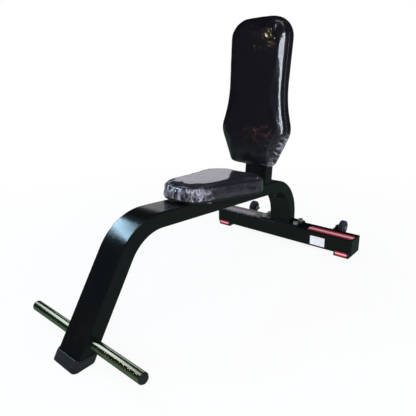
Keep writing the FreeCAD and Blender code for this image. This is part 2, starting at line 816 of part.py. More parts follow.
def flange_fasteners():
    radius = "size.flange_bolt_radius"
    bolt = hex_bolt("flange_bolt", radius, "size.flange_bolt_length", "size.flange_bolt_flats",
                    "size.flange_bolt_head")
    ring = washer("flange_washer", f"2 * {radius}", f"{radius} + size.bolt_gap / 2",
                  "size.flange_washer")
    nut = hex_nut("flange_nut", radius, "size.flange_bolt_flats", "size.flange_nut")
    upside_down = FreeCAD.Rotation(Vector(1, 0, 0), 180)
    head_z = "size.flange_thickness + size.flange_washer"
    nut_z = "-size.tube_wall - size.flange_nut"
    for label, source, z, turn in (("flange_bolts", bolt, head_z, upside_down),
                                   ("flange_washers", ring, "size.flange_thickness", None),
                                   ("flange_nuts", nut, nut_z, None)):
        copies(label, source, [(x, y, z) for x, y, _ in FLANGE_PLACES], "crossbar", turn)


def crossbar():
    body = new_body("crossbar_body")
    section = new_sketch(body, "crossbar_section", "YZ_Plane")
    rounded_rectangle(section, "size.crossbar_depth", "size.crossbar_height",
                      "size.crossbar_corner")
    rounded_rectangle(section, "size.crossbar_depth - 2 * size.tube_wall",
                      "size.crossbar_height - 2 * size.tube_wall",
                      "size.crossbar_corner - size.tube_wall")
    pad(body, section, "size.crossbar_length - 2 * size.cap_plate", symmetric=True)
    top = new_sketch(body, "flange_bores", "XY_Plane", z="size.crossbar_height / 2")
    for x, y, _ in FLANGE_PLACES:
        circle(top, x, y, "size.flange_bolt_radius + size.bolt_gap")
    cut(body, top, "2 * size.tube_wall")
    bottom = new_sketch(body, "shoe_screw_bores", "XY_Plane", z="-size.crossbar_height / 2")
    for x in SHOE_SCREW_X:
        circle(bottom, x, "0", "size.shoe_screw_radius + size.thread_gap")
    cut(body, bottom, "2 * size.tube_wall", reverse=True)
    node(body, "crossbar", "crossbar", z="-size.crossbar_height / 2")


def rear_feet():
    """Rubber shoes under the crossbar's ends, with a low lip before and behind it."""
    inner = "size.crossbar_depth / 2"
    outer = "(size.crossbar_depth / 2 + size.rear_shoe_lip)"
    base, top = "size.crossbar_bottom", "size.rear_shoe_height"
    for name, sign in SIDES:
        body = new_body(f"rear_foot_{name}_body")
        sketch = new_sketch(body, f"rear_foot_{name}_section", "YZ_Plane")
        polygon(sketch, [(f"-{outer}", "0"), (outer, "0"), (outer, top), (inner, top),
                         (inner, base), (f"-{inner}", base), (f"-{inner}", top),
                         (f"-{outer}", top)])
        pad(body, sketch, "size.rear_shoe_length", symmetric=True)
        for y in (f"-{outer}", outer):
            round_edges(body, "size.rear_shoe_corner",
                        upright_edge_at("size.rear_shoe_length / 2", y))
        recess = new_sketch(body, f"insert_{name}_recess", "XZ_Plane", z=outer,
                            y="size.insert_z")
        rounded_rectangle(recess, "size.insert_width + size.cover_gap",
                          "size.insert_height + size.cover_gap", "size.insert_corner")
        cut(body, recess, "size.insert_recess")
        for part, radius, depth in (("shank", "size.shoe_screw_radius", "size.crossbar_height"),
                                    ("head", "size.shoe_screw_head_radius",
                                     "size.shoe_screw_seat")):
            bores = new_sketch(body, f"foot_{name}_{part}_bores", "XY_Plane")
            for end in ("-", ""):
                circle(bores, f"{end}size.shoe_screw_x", "0", f"{radius} + size.bolt_gap / 2")
            cut(body, bores, depth, reverse=True)
        node(body, f"rear_foot_{name}", "floor", x=f"{sign}size.rear_shoe_x", y="size.rear_leg_y")


def foot_inserts():
    for name, sign in SIDES:
        body = new_body(f"foot_insert_{name}_body")
        face = "size.crossbar_depth / 2 + size.rear_shoe_lip - size.insert_recess"
        sketch = new_sketch(body, f"foot_insert_{name}_outline", "XZ_Plane", z=face,
                            y="size.insert_z")
        rounded_rectangle(sketch, "size.insert_width", "size.insert_height", "size.insert_corner")
        pad(body, sketch, "size.insert_thickness")
        node(body, f"foot_insert_{name}", "floor", x=f"{sign}size.rear_shoe_x",
             y="size.rear_leg_y")


def foot_screws():
    shank = round_bar("foot_screw_shank", "size.shoe_screw_radius", "size.shoe_screw_length")
    head = round_bar("foot_screw_head", "size.shoe_screw_head_radius", "size.shoe_screw_head",
                     z="-size.shoe_screw_head")
    screw = join("foot_screw", shank, head)
    copies("foot_screws", screw,
           [(x, "size.rear_leg_y", "size.shoe_screw_seat") for x in SHOE_SCREW_X], "floor")


def stickers():
    """Two red strips on the crossbar's top and a blank label on its front."""
    for name, sign in SIDES:
        body = new_body(f"top_strip_{name}_body")
        sketch = new_sketch(body, f"top_strip_{name}_outline", "XY_Plane")
        rounded_rectangle(sketch, "size.strip_length", "size.strip_width", "size.strip_corner")
        pad(body, sketch, "size.sticker")
        node(body, f"top_strip_{name}", "crossbar", x=f"{sign}size.strip_x", y="size.strip_y")
    label = new_body("data_label_body")
    face = new_sketch(label, "label_outline", "XZ_Plane", z="size.crossbar_depth / 2")
    rounded_rectangle(face, "size.label_width", "size.label_height", "size.label_corner")
    pad(label, face, "size.sticker")
    node(label, "data_label", "crossbar", x="size.label_x", z=f"size.label_z - {CROSSBAR_TOP}")


# ---------------------------------------------------------------- transport wheels

def wheel_brackets():
    """A lug for each wheel, from the crossbar's rear face to a round end about the axle."""
    root = f"-({WHEEL_Y} - size.rear_leg_y - size.crossbar_depth / 2)"
    end = "size.lug_radius"
    for name, sign in SIDES:
        body = new_body(f"wheel_bracket_{name}_body")
        web = new_sketch(body, f"lug_{name}_web", "YZ_Plane")
        polygon(web, [(root, "-size.lug_root_low"), ("0", f"-{end}"), ("0", end),
                      (root, "size.lug_root_high")])
        pad(body, web, "size.lug_thickness", symmetric=True)
        eye = new_sketch(body, f"lug_{name}_eye", "YZ_Plane")
        circle(eye, "0", "0", end)
        pad(body, eye, "size.lug_thickness", symmetric=True)
        hole = new_sketch(body, f"lug_{name}_hole", "YZ_Plane")
        circle(hole, "0", "0", "size.axle_radius + size.thread_gap")
        cut(body, hole, "2 * size.lug_thickness", symmetric=True)
        node(body, f"wheel_bracket_{name}", "wheel",
             x=f"{sign}(size.wheel_x - {LUG_FACE} - size.lug_thickness / 2)")


def wheel_axles():
    """A shoulder bolt for each wheel, its head on the outside."""
    length = f"{HEAD_FACE} + {AXLE_END}"
    for name, sign in SIDES:
        bolt = hex_bolt(f"axle_{name}", "size.axle_radius", length, "size.axle_flats",
                        "size.axle_head")
        quarter = -90 if name == "right" else 90
        bolt.Placement.Rotation = FreeCAD.Rotation(Vector(0, 1, 0), quarter)
        node(bolt, f"wheel_axle_{name}", "wheel", x=f"{sign}(size.wheel_x + {HEAD_FACE})")


def axle_fasteners():
    """Lock nuts, and a washer on each side of each lug."""
    nut = hex_nut("axle_nut", "size.axle_radius", "size.axle_flats", "size.axle_nut")
    ring = washer("axle_washer_ring", "2 * size.axle_radius", "size.axle_radius + size.bolt_gap / 4",
                  "size.axle_washer")
    across = FreeCAD.Rotation(Vector(0, 1, 0), 90)
    thick = "size.axle_washer"
    nut_x = [f"size.wheel_x - {NUT_FACE} - size.axle_nut", f"-size.wheel_x + {NUT_FACE}"]
    ring_x = [f"size.wheel_x - {LUG_FACE}", f"-size.wheel_x + {LUG_FACE} - {thick}",
              f"size.wheel_x - {NUT_FACE}", f"-size.wheel_x + {NUT_FACE} - {thick}"]
    copies("axle_nuts", nut, [(x, "0", "0") for x in nut_x], "wheel", across)
    copies("axle_washers", ring, [(x, "0", "0") for x in ring_x], "wheel", across)


def turned(name, profile):
    """A body turned about the wheel's axis from an outline of x and radius."""
    body = new_body(f"{name}_body")
    sketch = new_sketch(body, f"{name}_profile", "XY_Plane")
    polygon(sketch, profile)
    turn_about(body, sketch, "H_Axis")
    return body


def wheels():
    """Each wheel: a steel bush, a webbed hub and a tyre with bevelled shoulders."""
    bore = "size.axle_radius + size.axle_gap"
    bush = "size.bush_radius"
    rim = "(size.wheel_radius - size.tyre_depth)"
    boss = f"{bush} + size.hub_wall"
    rim_inner = f"{rim} - size.hub_wall"
    web = "size.hub_web / 2"
    half = HALF_WHEEL
    hub_half = f"{half} - size.rim_inset"
    crown = "size.tyre_crown"
    hub = [(f"-({half})", bush), (half, bush), (half, boss), (web, boss), (web, rim_inner),
           (hub_half, rim_inner), (hub_half, rim), (f"-({hub_half})", rim),
           (f"-({hub_half})", rim_inner), (f"-{web}", rim_inner), (f"-{web}", boss),
           (f"-({half})", boss)]
    tyre = [(f"-({half})", rim), (half, rim), (half, f"size.wheel_radius - {crown}"),
            (f"{half} - {crown}", "size.wheel_radius"), (f"{crown} - {half}", "size.wheel_radius"),
            (f"-({half})", f"size.wheel_radius - {crown}")]
    sleeve = [(f"-({half})", bore), (half, bore), (half, bush), (f"-({half})", bush)]
    for name, sign in SIDES:
        for piece, profile in (("hub", hub), ("tyre", tyre), ("bush", sleeve)):
            label = f"wheel_{piece}_{name}"
            node(turned(label, profile), label, "wheel", x=f"{sign}size.wheel_x")


# ---------------------------------------------------------------- building and writing

def build():
    main_tube()
    front_foot()
    foot_bar()
    foot_bar_plugs()
    back_post()
    post_cap()
    for frame in PADS:
        pad_plates(frame)
        board(frame)
        cushion(frame)
        pad_fasteners(frame)
    rear_flange()
    flange_fasteners()
    crossbar()
    crossbar_caps()
    rear_feet()
    foot_inserts()
    foot_screws()
    stickers()
    wheel_brackets()
    wheel_axles()
    axle_fasteners()
    wheels()
    DOC.recompute()


def check():
    """Stop before anything is written if an object or a sub-part's shape has failed."""
    for item in DOC.Objects:
        if "Invalid" in item.State or "Error" in item.State:
            raise RuntimeError(f"{item.Label} did not recompute: {item.State}")
    for item in NODES:
        if item.Shape.isNull() or not item.Shape.isValid():
            raise RuntimeError(f"{item.Label} has no valid shape")


def write():
    os.makedirs("parts", exist_ok=True)
    for item in NODES:
        item.Shape.exportStep(f"parts/{item.Label}.step")
        solids = len(item.Shape.Solids)
        print(f"{item.Label}: {solids} solid(s), {item.Shape.Volume / 1000:.1f} cm3")


build()
check()
write()
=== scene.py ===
"""Looks of the upright utility bench: cushions, covers, welds, wheels, materials, light and camera.

Everything is in metres in the CAD frame: +Z up, -Y towards the front, X across.  Places come from the
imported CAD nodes.  Each pad has axes of its own: x across, v along the board and w out through the
cushion, with w = 0 on the underside of its board.
"""
import json
import math

import bmesh
import bpy
import numpy as np
from mathutils import Matrix, Vector, noise
from mathutils.bvhtree import BVHTree


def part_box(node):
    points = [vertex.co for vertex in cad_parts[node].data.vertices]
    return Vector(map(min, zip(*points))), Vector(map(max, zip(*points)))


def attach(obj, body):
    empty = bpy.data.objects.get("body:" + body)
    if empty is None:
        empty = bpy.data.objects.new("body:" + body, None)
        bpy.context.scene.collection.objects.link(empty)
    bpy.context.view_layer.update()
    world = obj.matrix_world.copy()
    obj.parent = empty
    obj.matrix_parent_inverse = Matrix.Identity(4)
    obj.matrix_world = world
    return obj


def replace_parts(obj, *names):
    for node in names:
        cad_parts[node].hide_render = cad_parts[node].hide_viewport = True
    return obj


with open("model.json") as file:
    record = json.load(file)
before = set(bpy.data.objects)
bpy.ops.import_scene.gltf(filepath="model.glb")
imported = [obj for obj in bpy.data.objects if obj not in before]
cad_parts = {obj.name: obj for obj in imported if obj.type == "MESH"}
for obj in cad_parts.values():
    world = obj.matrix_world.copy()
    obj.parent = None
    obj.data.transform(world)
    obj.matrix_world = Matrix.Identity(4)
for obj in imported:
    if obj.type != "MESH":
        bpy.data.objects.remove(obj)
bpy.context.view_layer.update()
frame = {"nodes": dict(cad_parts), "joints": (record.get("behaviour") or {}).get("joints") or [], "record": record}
NODES = frame["nodes"]
MM = 0.001
X_AXIS = Vector((1, 0, 0))

VOXEL = 5 * MM
SWELL = 5 * MM            # the most a point of a cushion may move while it is inflated
PRESSURE = 4
LAST_FRAME = 20
PINNED = 12 * MM          # the foot of a cushion's side is held by its board up to here
COVER = 0.9 * MM          # thickness of the upholstery where it folds under the board
HEM = 16 * MM


# ---------------------------------------------------------------- small helpers

def smooth_step(low, high, value):
    """0 below low, 1 above high, smooth between; high may be the smaller one."""
    share = min(1.0, max(0.0, (value - low) / (high - low)))
    return share * share * (3 - 2 * share)


def centre(node):
    low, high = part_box(node)
    return (low + high) / 2


def support(points, direction):
    """The point that lies furthest in a direction."""
    return max(points, key=lambda point: point.dot(direction))


def points_of(node):
    return [vertex.co.copy() for vertex in NODES[node].data.vertices]


def link(name, mesh, body, finish):
    """A new piece that rides on a body, with its material."""
    piece = bpy.data.objects.new(name, mesh)
    bpy.context.scene.collection.objects.link(piece)
    piece.data.materials.clear()
    piece.data.materials.append(finish)
    for polygon in piece.data.polygons:
        polygon.use_smooth = True
    piece.data.set_sharp_from_angle(angle=math.radians(48))
    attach(piece, body)
    return piece


def mesh_from(name, vertices, faces):
    mesh = bpy.data.meshes.new(name)
    mesh.from_pydata(vertices, [], faces)
    mesh.validate()
    outward = bmesh.new()
    outward.from_mesh(mesh)
    bmesh.ops.recalc_face_normals(outward, faces=outward.faces)
    outward.to_mesh(mesh)
    outward.free()
    return mesh


def merged(name, meshes):
    """One mesh from several."""
    whole = bmesh.new()
    for mesh in meshes:
        whole.from_mesh(mesh)
        bpy.data.meshes.remove(mesh)
    result = bpy.data.meshes.new(name)
    whole.to_mesh(result)
    whole.free()
    return result


def islands(node):
    """The separate solids of a CAD node, each as a list of points."""
    copy = bmesh.new()
    copy.from_mesh(NODES[node].data)
    bmesh.ops.remove_doubles(copy, verts=copy.verts, dist=0.01 * MM)
    left = set(copy.verts)
    solids = []
    while left:
        reached, queue = [], [left.pop()]
        while queue:
            vertex = queue.pop()
            reached.append(vertex.co.copy())
            for edge in vertex.link_edges:
                other = edge.other_vert(vertex)
                if other in left:
                    left.remove(other)
                    queue.append(other)
        solids.append(reached)
    copy.free()
    return solids


def resampled(path, step, closed):
    """Evenly spaced points along a path."""
    points = [Vector(point) for point in path]
    if closed:
        points.append(points[0])
    lengths = [0.0]
    for first, second in zip(points, points[1:]):
        lengths.append(lengths[-1] + (second - first).length)
    count = max(4, round(lengths[-1] / step))
    places = np.linspace(0, lengths[-1], count + 1)
    if closed:
        places = places[:-1]
    axes = [np.interp(places, lengths, [point[axis] for point in points]) for axis in range(3)]
    return [Vector(place) for place in zip(*axes)]


def sweep(name, path, radius, closed, flat, sides=8):
    """A tube along a path; radius may be a function of the point's number; flat is the path's normal."""
    count = len(path)
    vertices, faces = [], []
    for index, point in enumerate(path):
        before = path[index - 1] if closed or index else point
        after = path[(index + 1) % count] if closed or index < count - 1 else point
        side = (after - before).normalized().cross(flat).normalized()
        reach = radius(index) if callable(radius) else radius
        for corner in range(sides):
            turn = math.tau * corner / sides
            vertices.append(point + reach * (math.cos(turn) * side + math.sin(turn) * flat))
    for index in range(count if closed else count - 1):
        following = (index + 1) % count
        for corner in range(sides):
            other = (corner + 1) % sides
            faces.append((index * sides + corner, index * sides + other,
                          following * sides + other, following * sides + corner))
    if not closed:
        faces.append(tuple(range(sides)))
        faces.append(tuple(range((count - 1) * sides, count * sides)))
    return mesh_from(name, vertices, faces)


# ---------------------------------------------------------------- materials

class Shader:
    """A material's node tree, with short calls for the nodes that most of them need."""

    def __init__(self, name):
        self.material = bpy.data.materials.new(name)
        self.material.use_nodes = True
        self.nodes = self.material.node_tree.nodes
        self.links = self.material.node_tree.links
        self.surface = self.nodes["Principled BSDF"]
        self.place = self.nodes.new("ShaderNodeTexCoord").outputs["Object"]

    def wire(self, source, target):
        self.links.new(source, target)

    def put(self, **values):
        for name, value in values.items():
            self.surface.inputs[name.replace("_", " ")].default_value = value

    def stretched(self, scale):
        mapping = self.nodes.new("ShaderNodeMapping")
        mapping.inputs["Scale"].default_value = scale
        self.wire(self.place, mapping.inputs["Vector"])
        return mapping.outputs["Vector"]

    def noise(self, scale, detail=3.0, stretch=(1, 1, 1), roughness=0.5):
        node = self.nodes.new("ShaderNodeTexNoise")
        node.inputs["Scale"].default_value = scale
        node.inputs["Detail"].default_value = detail
        node.inputs["Roughness"].default_value = roughness
        self.wire(self.stretched(stretch), node.inputs["Vector"])
        return node.outputs["Fac"]

    def cells(self, scale, feature="DISTANCE_TO_EDGE"):
        node = self.nodes.new("ShaderNodeTexVoronoi")
        node.feature = feature
        node.inputs["Scale"].default_value = scale
        self.wire(self.place, node.inputs["Vector"])
        return node.outputs["Distance"]

    def ramp(self, source, stops):
        """A colour ramp; stops are pairs of place and grey level or colour."""
        node = self.nodes.new("ShaderNodeValToRGB")
        elements = node.color_ramp.elements
        while len(elements) < len(stops):
            elements.new(0.5)
        for element, (position, color) in zip(elements, stops):
            element.position = position
            element.color = (*color, 1) if isinstance(color, tuple) else (color, color, color, 1)
        self.wire(source, node.inputs["Fac"])
        return node.outputs["Color"]

    def math(self, operation, first, second=0.0):
        node = self.nodes.new("ShaderNodeMath")
        node.operation = operation
        for socket, value in zip(node.inputs, (first, second)):
            if isinstance(value, (int, float)):
                socket.default_value = value
            else:
                self.wire(value, socket)
        return node.outputs[0]

    def axis(self, letter):
        node = self.nodes.new("ShaderNodeSeparateXYZ")
        self.wire(self.place, node.inputs[0])
        return node.outputs[letter]

    def near(self, letter, middle, reach, blur):
        """1 within reach of the middle along an axis and 0 outside, with a blurred edge."""
        away = self.math("ABSOLUTE", self.math("SUBTRACT", self.axis(letter), middle))
        beyond = self.math("DIVIDE", self.math("SUBTRACT", reach, away), blur)
        node = self.nodes.new("ShaderNodeClamp")
        self.wire(beyond, node.inputs["Value"])
        return node.outputs[0]

    def blend(self, share, first, second):
        node = self.nodes.new("ShaderNodeMix")
        node.data_type = "RGBA"
        if isinstance(share, (int, float)):
            node.inputs[0].default_value = share
        else:
            self.wire(share, node.inputs[0])
        for socket, value in ((node.inputs[6], first), (node.inputs[7], second)):
            if isinstance(value, tuple):
                socket.default_value = (*value, 1)
            else:
                self.wire(value, socket)
        return node.outputs[2]

    def bump(self, height, strength, depth):
        """Adds relief under whatever relief the surface already has."""
        node = self.nodes.new("ShaderNodeBump")
        node.inputs["Strength"].default_value = strength
        node.inputs["Distance"].default_value = depth
        self.wire(height, node.inputs["Height"])
        normal = self.surface.inputs["Normal"]
        if normal.is_linked:
            self.wire(normal.links[0].from_socket, node.inputs["Normal"])
        self.wire(node.outputs["Normal"], normal)

    def color(self, source):
        self.wire(source, self.surface.inputs["Base Color"])

    def rough(self, source, low, high):
        """Roughness that follows a noise between two levels."""
        self.wire(self.ramp(source, ((0.3, low), (0.7, high))), self.surface.inputs["Roughness"])


def frame_paint():
    """Black powder coat: satin, with a fine orange peel and a little settled dust."""
    paint = Shader("frame_paint")
    dust = paint.ramp(paint.noise(35, 6, roughness=0.7), ((0.55, 0.0), (0.85, 1.0)))
    paint.color(paint.blend(dust, (0.0030, 0.0042, 0.0048), (0.0055, 0.0070, 0.0070)))
    paint.rough(paint.noise(14, 2), 0.20, 0.24)
    paint.put(Coat_Weight=0.25, Coat_Roughness=0.18, Specular_IOR_Level=0.5)
    paint.bump(paint.noise(420, 2), 0.010, 0.10 * MM)
    paint.bump(paint.noise(1500, 1), 0.03, 0.02 * MM)
    return paint.material


def bar_chrome():
    """Polished chrome, with faint polishing rings and handling smears; its colour is tinted olive-green, a painted
    reflection of a green floor.
    """
    chrome = Shader("bar_chrome")
    # painted reflection: both tones are olive-green, so everything the chrome mirrors comes out olive
    chrome.color(chrome.blend(chrome.noise(14, 4), (0.70, 0.78, 0.60), (0.80, 0.88, 0.70)))
    chrome.rough(chrome.noise(9, 1), 0.15, 0.20)
    chrome.put(Metallic=1.0)
    chrome.bump(chrome.noise(900, 1, stretch=(1, 0.05, 0.05)), 0.02, 0.004 * MM)
    return chrome.material


def zinc_steel():
    """Bright zinc plate with the uneven tint of its passivation."""
    zinc = Shader("zinc_steel")
    zinc.color(zinc.blend(zinc.noise(160, 4), (0.62, 0.63, 0.63), (0.76, 0.74, 0.66)))
    zinc.rough(zinc.noise(120, 2), 0.26, 0.40)
    zinc.put(Metallic=0.85)
    zinc.bump(zinc.noise(1100, 2), 0.12, 0.06 * MM)
    return zinc.material


def moulded(name, color, low, high, grain, depth, sheen=0.0):
    """Moulded rubber or plastic: a fine grain, and gloss that varies where it has been handled."""
    surface = Shader(name)
    lighter = tuple(1.7 * channel for channel in color)
    surface.color(surface.blend(surface.noise(45, 5), color, lighter))
    surface.rough(surface.noise(70, 4), low, high)
    surface.put(Sheen_Weight=sheen, Sheen_Tint=(0.45, 0.55, 0.8, 1))
    surface.bump(surface.cells(grain), 0.35, depth)
    surface.bump(surface.noise(grain / 3, 3), 0.15, 2 * depth)
    return surface.material


def upholstery():
    """Glossy black synthetic leather with a plum cast: pebble grain, pores and soft creases."""
    hide = Shader("upholstery")
    hide.color(hide.blend(hide.noise(18, 5), (0.0035, 0.0038, 0.0062), (0.0065, 0.0050, 0.0090)))
    hide.rough(hide.noise(12, 2), 0.32, 0.40)
    hide.put(Coat_Weight=1.0, Coat_Roughness=0.07, Specular_IOR_Level=0.3)
    hide.bump(hide.noise(16, 3, roughness=0.40), 0.035, 1.0 * MM)
    hide.bump(hide.cells(900), 0.14, 0.10 * MM)
    hide.bump(hide.noise(2600, 1), 0.08, 0.04 * MM)
    return hide.material


def plywood():
    """Raw plywood: long grain on its faces and thin plies on its edge."""
    wood = Shader("plywood")
    grain = wood.noise(16, 8, stretch=(9, 1, 1), roughness=0.65)
    face = wood.ramp(grain, ((0.30, (0.30, 0.19, 0.10)), (0.55, (0.52, 0.37, 0.21)),
                             (0.75, (0.66, 0.51, 0.32))))
    knots = wood.ramp(wood.cells(6, "F1"), ((0.03, 0.55), (0.12, 1.0)))
    shade = wood.nodes.new("ShaderNodeMix")
    shade.data_type = "RGBA"
    shade.blend_type = "MULTIPLY"
    shade.inputs[0].default_value = 1.0
    wood.wire(face, shade.inputs[6])
    wood.wire(knots, shade.inputs[7])
    wood.color(shade.outputs[2])
    wood.rough(grain, 0.62, 0.80)
    wood.bump(grain, 0.35, 0.3 * MM)
    return wood.material


def red_vinyl(name, letter, middle, half, painted_glare=0.0):
    """Glossy red vinyl with a pale printed band along its middle; the given share greys it towards blue-grey, a
    painted reflection of glare.
    """
    vinyl = Shader(name)
    band = vinyl.near(letter, middle, half, 0.6 * MM)
    printed = vinyl.math("MULTIPLY", band, vinyl.ramp(vinyl.noise(60, 4), ((0.2, 0.80), (0.6, 1.0))))
    red = vinyl.blend(vinyl.noise(30, 4), (0.42, 0.012, 0.028), (0.56, 0.025, 0.045))
    bare = vinyl.blend(printed, red, (0.80, 0.52, 0.55))
    # painted glare: a blue-grey laid over the vinyl by the given share, standing in for a reflection
    veil = vinyl.ramp(vinyl.noise(40, 4), ((0.3, 0.85 * painted_glare), (0.7, painted_glare)))
    vinyl.color(vinyl.blend(veil, bare, (0.06, 0.085, 0.12)))
    vinyl.rough(vinyl.noise(50, 3), 0.18, 0.32)
    vinyl.put(Coat_Weight=0.4, Coat_Roughness=0.08)
    vinyl.bump(vinyl.noise(160, 3), 0.10, 0.1 * MM)
    return vinyl.material


def label_white():
    """A blank white label with a thin grey printed frame."""
    paper = Shader("label_white")
    low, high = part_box("data_label")
    middle, half = (low + high) / 2, (high - low) / 2
    inside = paper.math("MULTIPLY", paper.near("X", middle.x, half.x - 3 * MM, 0.2 * MM),
                        paper.near("Z", middle.z, half.z - 3 * MM, 0.2 * MM))
    framed = paper.math("MULTIPLY", paper.near("X", middle.x, half.x - 2.4 * MM, 0.2 * MM),
                        paper.near("Z", middle.z, half.z - 2.4 * MM, 0.2 * MM))
    line = paper.math("SUBTRACT", framed, inside)
    tone = paper.blend(paper.noise(90, 4), (0.68, 0.68, 0.72), (0.76, 0.76, 0.80))
    paper.color(paper.blend(line, tone, (0.55, 0.56, 0.62)))
    paper.rough(paper.noise(70, 3), 0.30, 0.45)
    paper.bump(paper.noise(300, 3), 0.10, 0.05 * MM)
    return paper.material


def clear_film():
    """Thin wrapping film: nearly clear face on, silvery where it turns away or is bunched up."""
    film = Shader("clear_film")
    film.nodes.remove(film.surface)
    clear = film.nodes.new("ShaderNodeBsdfTransparent")
    shine = film.nodes.new("ShaderNodeBsdfGlossy")
    haze = film.nodes.new("ShaderNodeBsdfDiffuse")
    turned = film.nodes.new("ShaderNodeLayerWeight")
    bunched = film.nodes.new("ShaderNodeAttribute")
    relief = film.nodes.new("ShaderNodeBump")
    shine.inputs["Color"].default_value = (0.90, 0.88, 0.96, 1)
    shine.inputs["Roughness"].default_value = 0.10
    film.wire(film.blend(film.noise(26, 2), (0.56, 0.68, 0.70), (0.80, 0.64, 0.86)),
              haze.inputs["Color"])
    turned.inputs["Blend"].default_value = 0.5
    bunched.attribute_name = "bunched"
    relief.inputs["Strength"].default_value = 0.12
    relief.inputs["Distance"].default_value = 0.3 * MM
    film.wire(film.noise(200, 3), relief.inputs["Height"])
    sag = film.nodes.new("ShaderNodeBump")
    sag.inputs["Strength"].default_value = 0.10
    sag.inputs["Distance"].default_value = 1.0 * MM
    film.wire(film.noise(48, 2), sag.inputs["Height"])
    film.wire(sag.outputs["Normal"], relief.inputs["Normal"])
    film.wire(relief.outputs["Normal"], shine.inputs["Normal"])
    grazing = film.math("ADD", film.math("POWER", turned.outputs["Facing"], 5.0), 0.015)
    mirror = film.math("ADD", grazing, film.math("MULTIPLY", bunched.outputs["Fac"], 0.35))
    first, second = film.nodes.new("ShaderNodeMixShader"), film.nodes.new("ShaderNodeMixShader")
    film.wire(mirror, first.inputs[0])
    film.wire(clear.outputs[0], first.inputs[1])
    film.wire(shine.outputs[0], first.inputs[2])
    film.wire(film.math("MULTIPLY", bunched.outputs["Fac"], 0.45), second.inputs[0])
    film.wire(first.outputs[0], second.inputs[1])
    film.wire(haze.outputs[0], second.inputs[2])
    film.wire(second.outputs[0], film.nodes["Material Output"].inputs["Surface"])
    return film.material


def strip_half_width():
    low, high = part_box("top_strip_right")
    return (high.y - low.y) / 2


def insert_half_height():
    low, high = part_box("foot_insert_right")
    return (high.z - low.z) / 2


FINISHES = {
    "frame_paint": frame_paint(),
    "bar_chrome": bar_chrome(),
    "zinc_steel": zinc_steel(),
    "shoe_rubber": moulded("shoe_rubber", (0.007, 0.008, 0.009), 0.32, 0.46, 1300, 0.08 * MM, 0.12),
    "wheel_rubber": moulded("wheel_rubber", (0.012, 0.014, 0.017), 0.28, 0.45, 1000, 0.1 * MM, 0.25),
    "cap_plastic": moulded("cap_plastic", (0.008, 0.011, 0.009), 0.28, 0.42, 1600, 0.05 * MM),
    "hub_plastic": moulded("hub_plastic", (0.030, 0.034, 0.045), 0.30, 0.45, 1500, 0.05 * MM),
    "upholstery": upholstery(),
    "plywood": plywood(),
    "red_vinyl": red_vinyl("red_vinyl", "Y", centre("top_strip_right").y, 0.42 * strip_half_width()),
    "label_white": label_white(),
}
# the left strip is greyed by a painted glare
GLARE_PAINTED_FINISH = red_vinyl("red_vinyl_painted_glare", "Y", centre("top_strip_left").y,
                          0.42 * strip_half_width(), painted_glare=0.85)
INSERT_FINISH = red_vinyl("red_insert", "Z", centre("foot_insert_right").z, 0.34 * insert_half_height())
FILM = clear_film()
EDGE = {"frame_paint": 0.6 * MM, "zinc_steel": 0.5 * MM, "cap_plastic": 1.2 * MM,
        "shoe_rubber": 1.6 * MM, "plywood": 0.5 * MM}


def finish_cad_nodes():
    """Better materials for the CAD nodes that stay, and a small round on their sharp edges."""
    for part in frame["record"]["subparts"]:
        node, slot = NODES[part["node"]], part["material_slot"]
        finish = FINISHES[slot]
        if part["node"].startswith("foot_insert"):
            finish = INSERT_FINISH
        # the left strip takes the finish with the painted glare
        elif part["node"] == "top_strip_left":
            finish = GLARE_PAINTED_FINISH
        node.data.materials.clear()
        node.data.materials.append(finish)
        if slot not in EDGE:
            continue
        weld = node.modifiers.new("weld", "WELD")
        weld.merge_threshold = 0.01 * MM
        bevel = node.modifiers.new("edge", "BEVEL")
        bevel.width = EDGE[slot]
        bevel.segments = 2
        bevel.limit_method = "ANGLE"
        bevel.angle_limit = math.radians(40)
        node.modifiers.new("normals", "WEIGHTED_NORMAL")


# ---------------------------------------------------------------- pads

class Pad:
    """A pad's axes, outline and thickness, all read from its CAD cushion and board."""

    def __init__(self, node):
        self.node = node
        self.board = f"{node}_board"
        self.out = self.board_normal()
        self.along = self.out.cross(X_AXIS).normalized()
        self.base = min(point.dot(self.out) for point in points_of(self.board))
        self.middle = centre(node)
        self.thickness = max(point.dot(self.out) for point in points_of(node)) - self.base
        self.board_top = max(point.dot(self.out) for point in points_of(self.board)) - self.base

    def board_normal(self):
        """The normal of the board's largest flat side, pointing into the cushion."""
        areas = {}
        for polygon in NODES[self.board].data.polygons:
            key = tuple(round(value, 2) for value in polygon.normal)
            total, normal = areas.get(key, (0.0, polygon.normal.copy()))
            areas[key] = (total + polygon.area, normal)
        normal = max(areas.values(), key=lambda entry: entry[0])[1].normalized()
        inward = centre(self.node) - centre(self.board)
        return normal if normal.dot(inward) > 0 else -normal

    def world(self, x, v, w):
        flat = self.middle - self.out * (self.middle.dot(self.out) - self.base)
        return flat + X_AXIS * x + self.along * v + self.out * w

    def local(self, point):
        """x, v and w of a point."""
        away = point - self.middle
        return away.x, away.dot(self.along), point.dot(self.out) - self.base

    def ring(self, tree, w, count=360):
        """Points where the surface in the tree meets a plane at height w, going round the pad."""
        reach = 1.0
        points = []
        for index in range(count):
            turn = math.tau * index / count
            way = X_AXIS * math.cos(turn) + self.along * math.sin(turn)
            hit = tree.ray_cast(self.world(0, 0, w) + way * reach, -way)[0]
            points.append(hit)
        return points


def tree_of(mesh):
    return BVHTree.FromPolygons([vertex.co for vertex in mesh.vertices],
                                [tuple(polygon.vertices) for polygon in mesh.polygons])


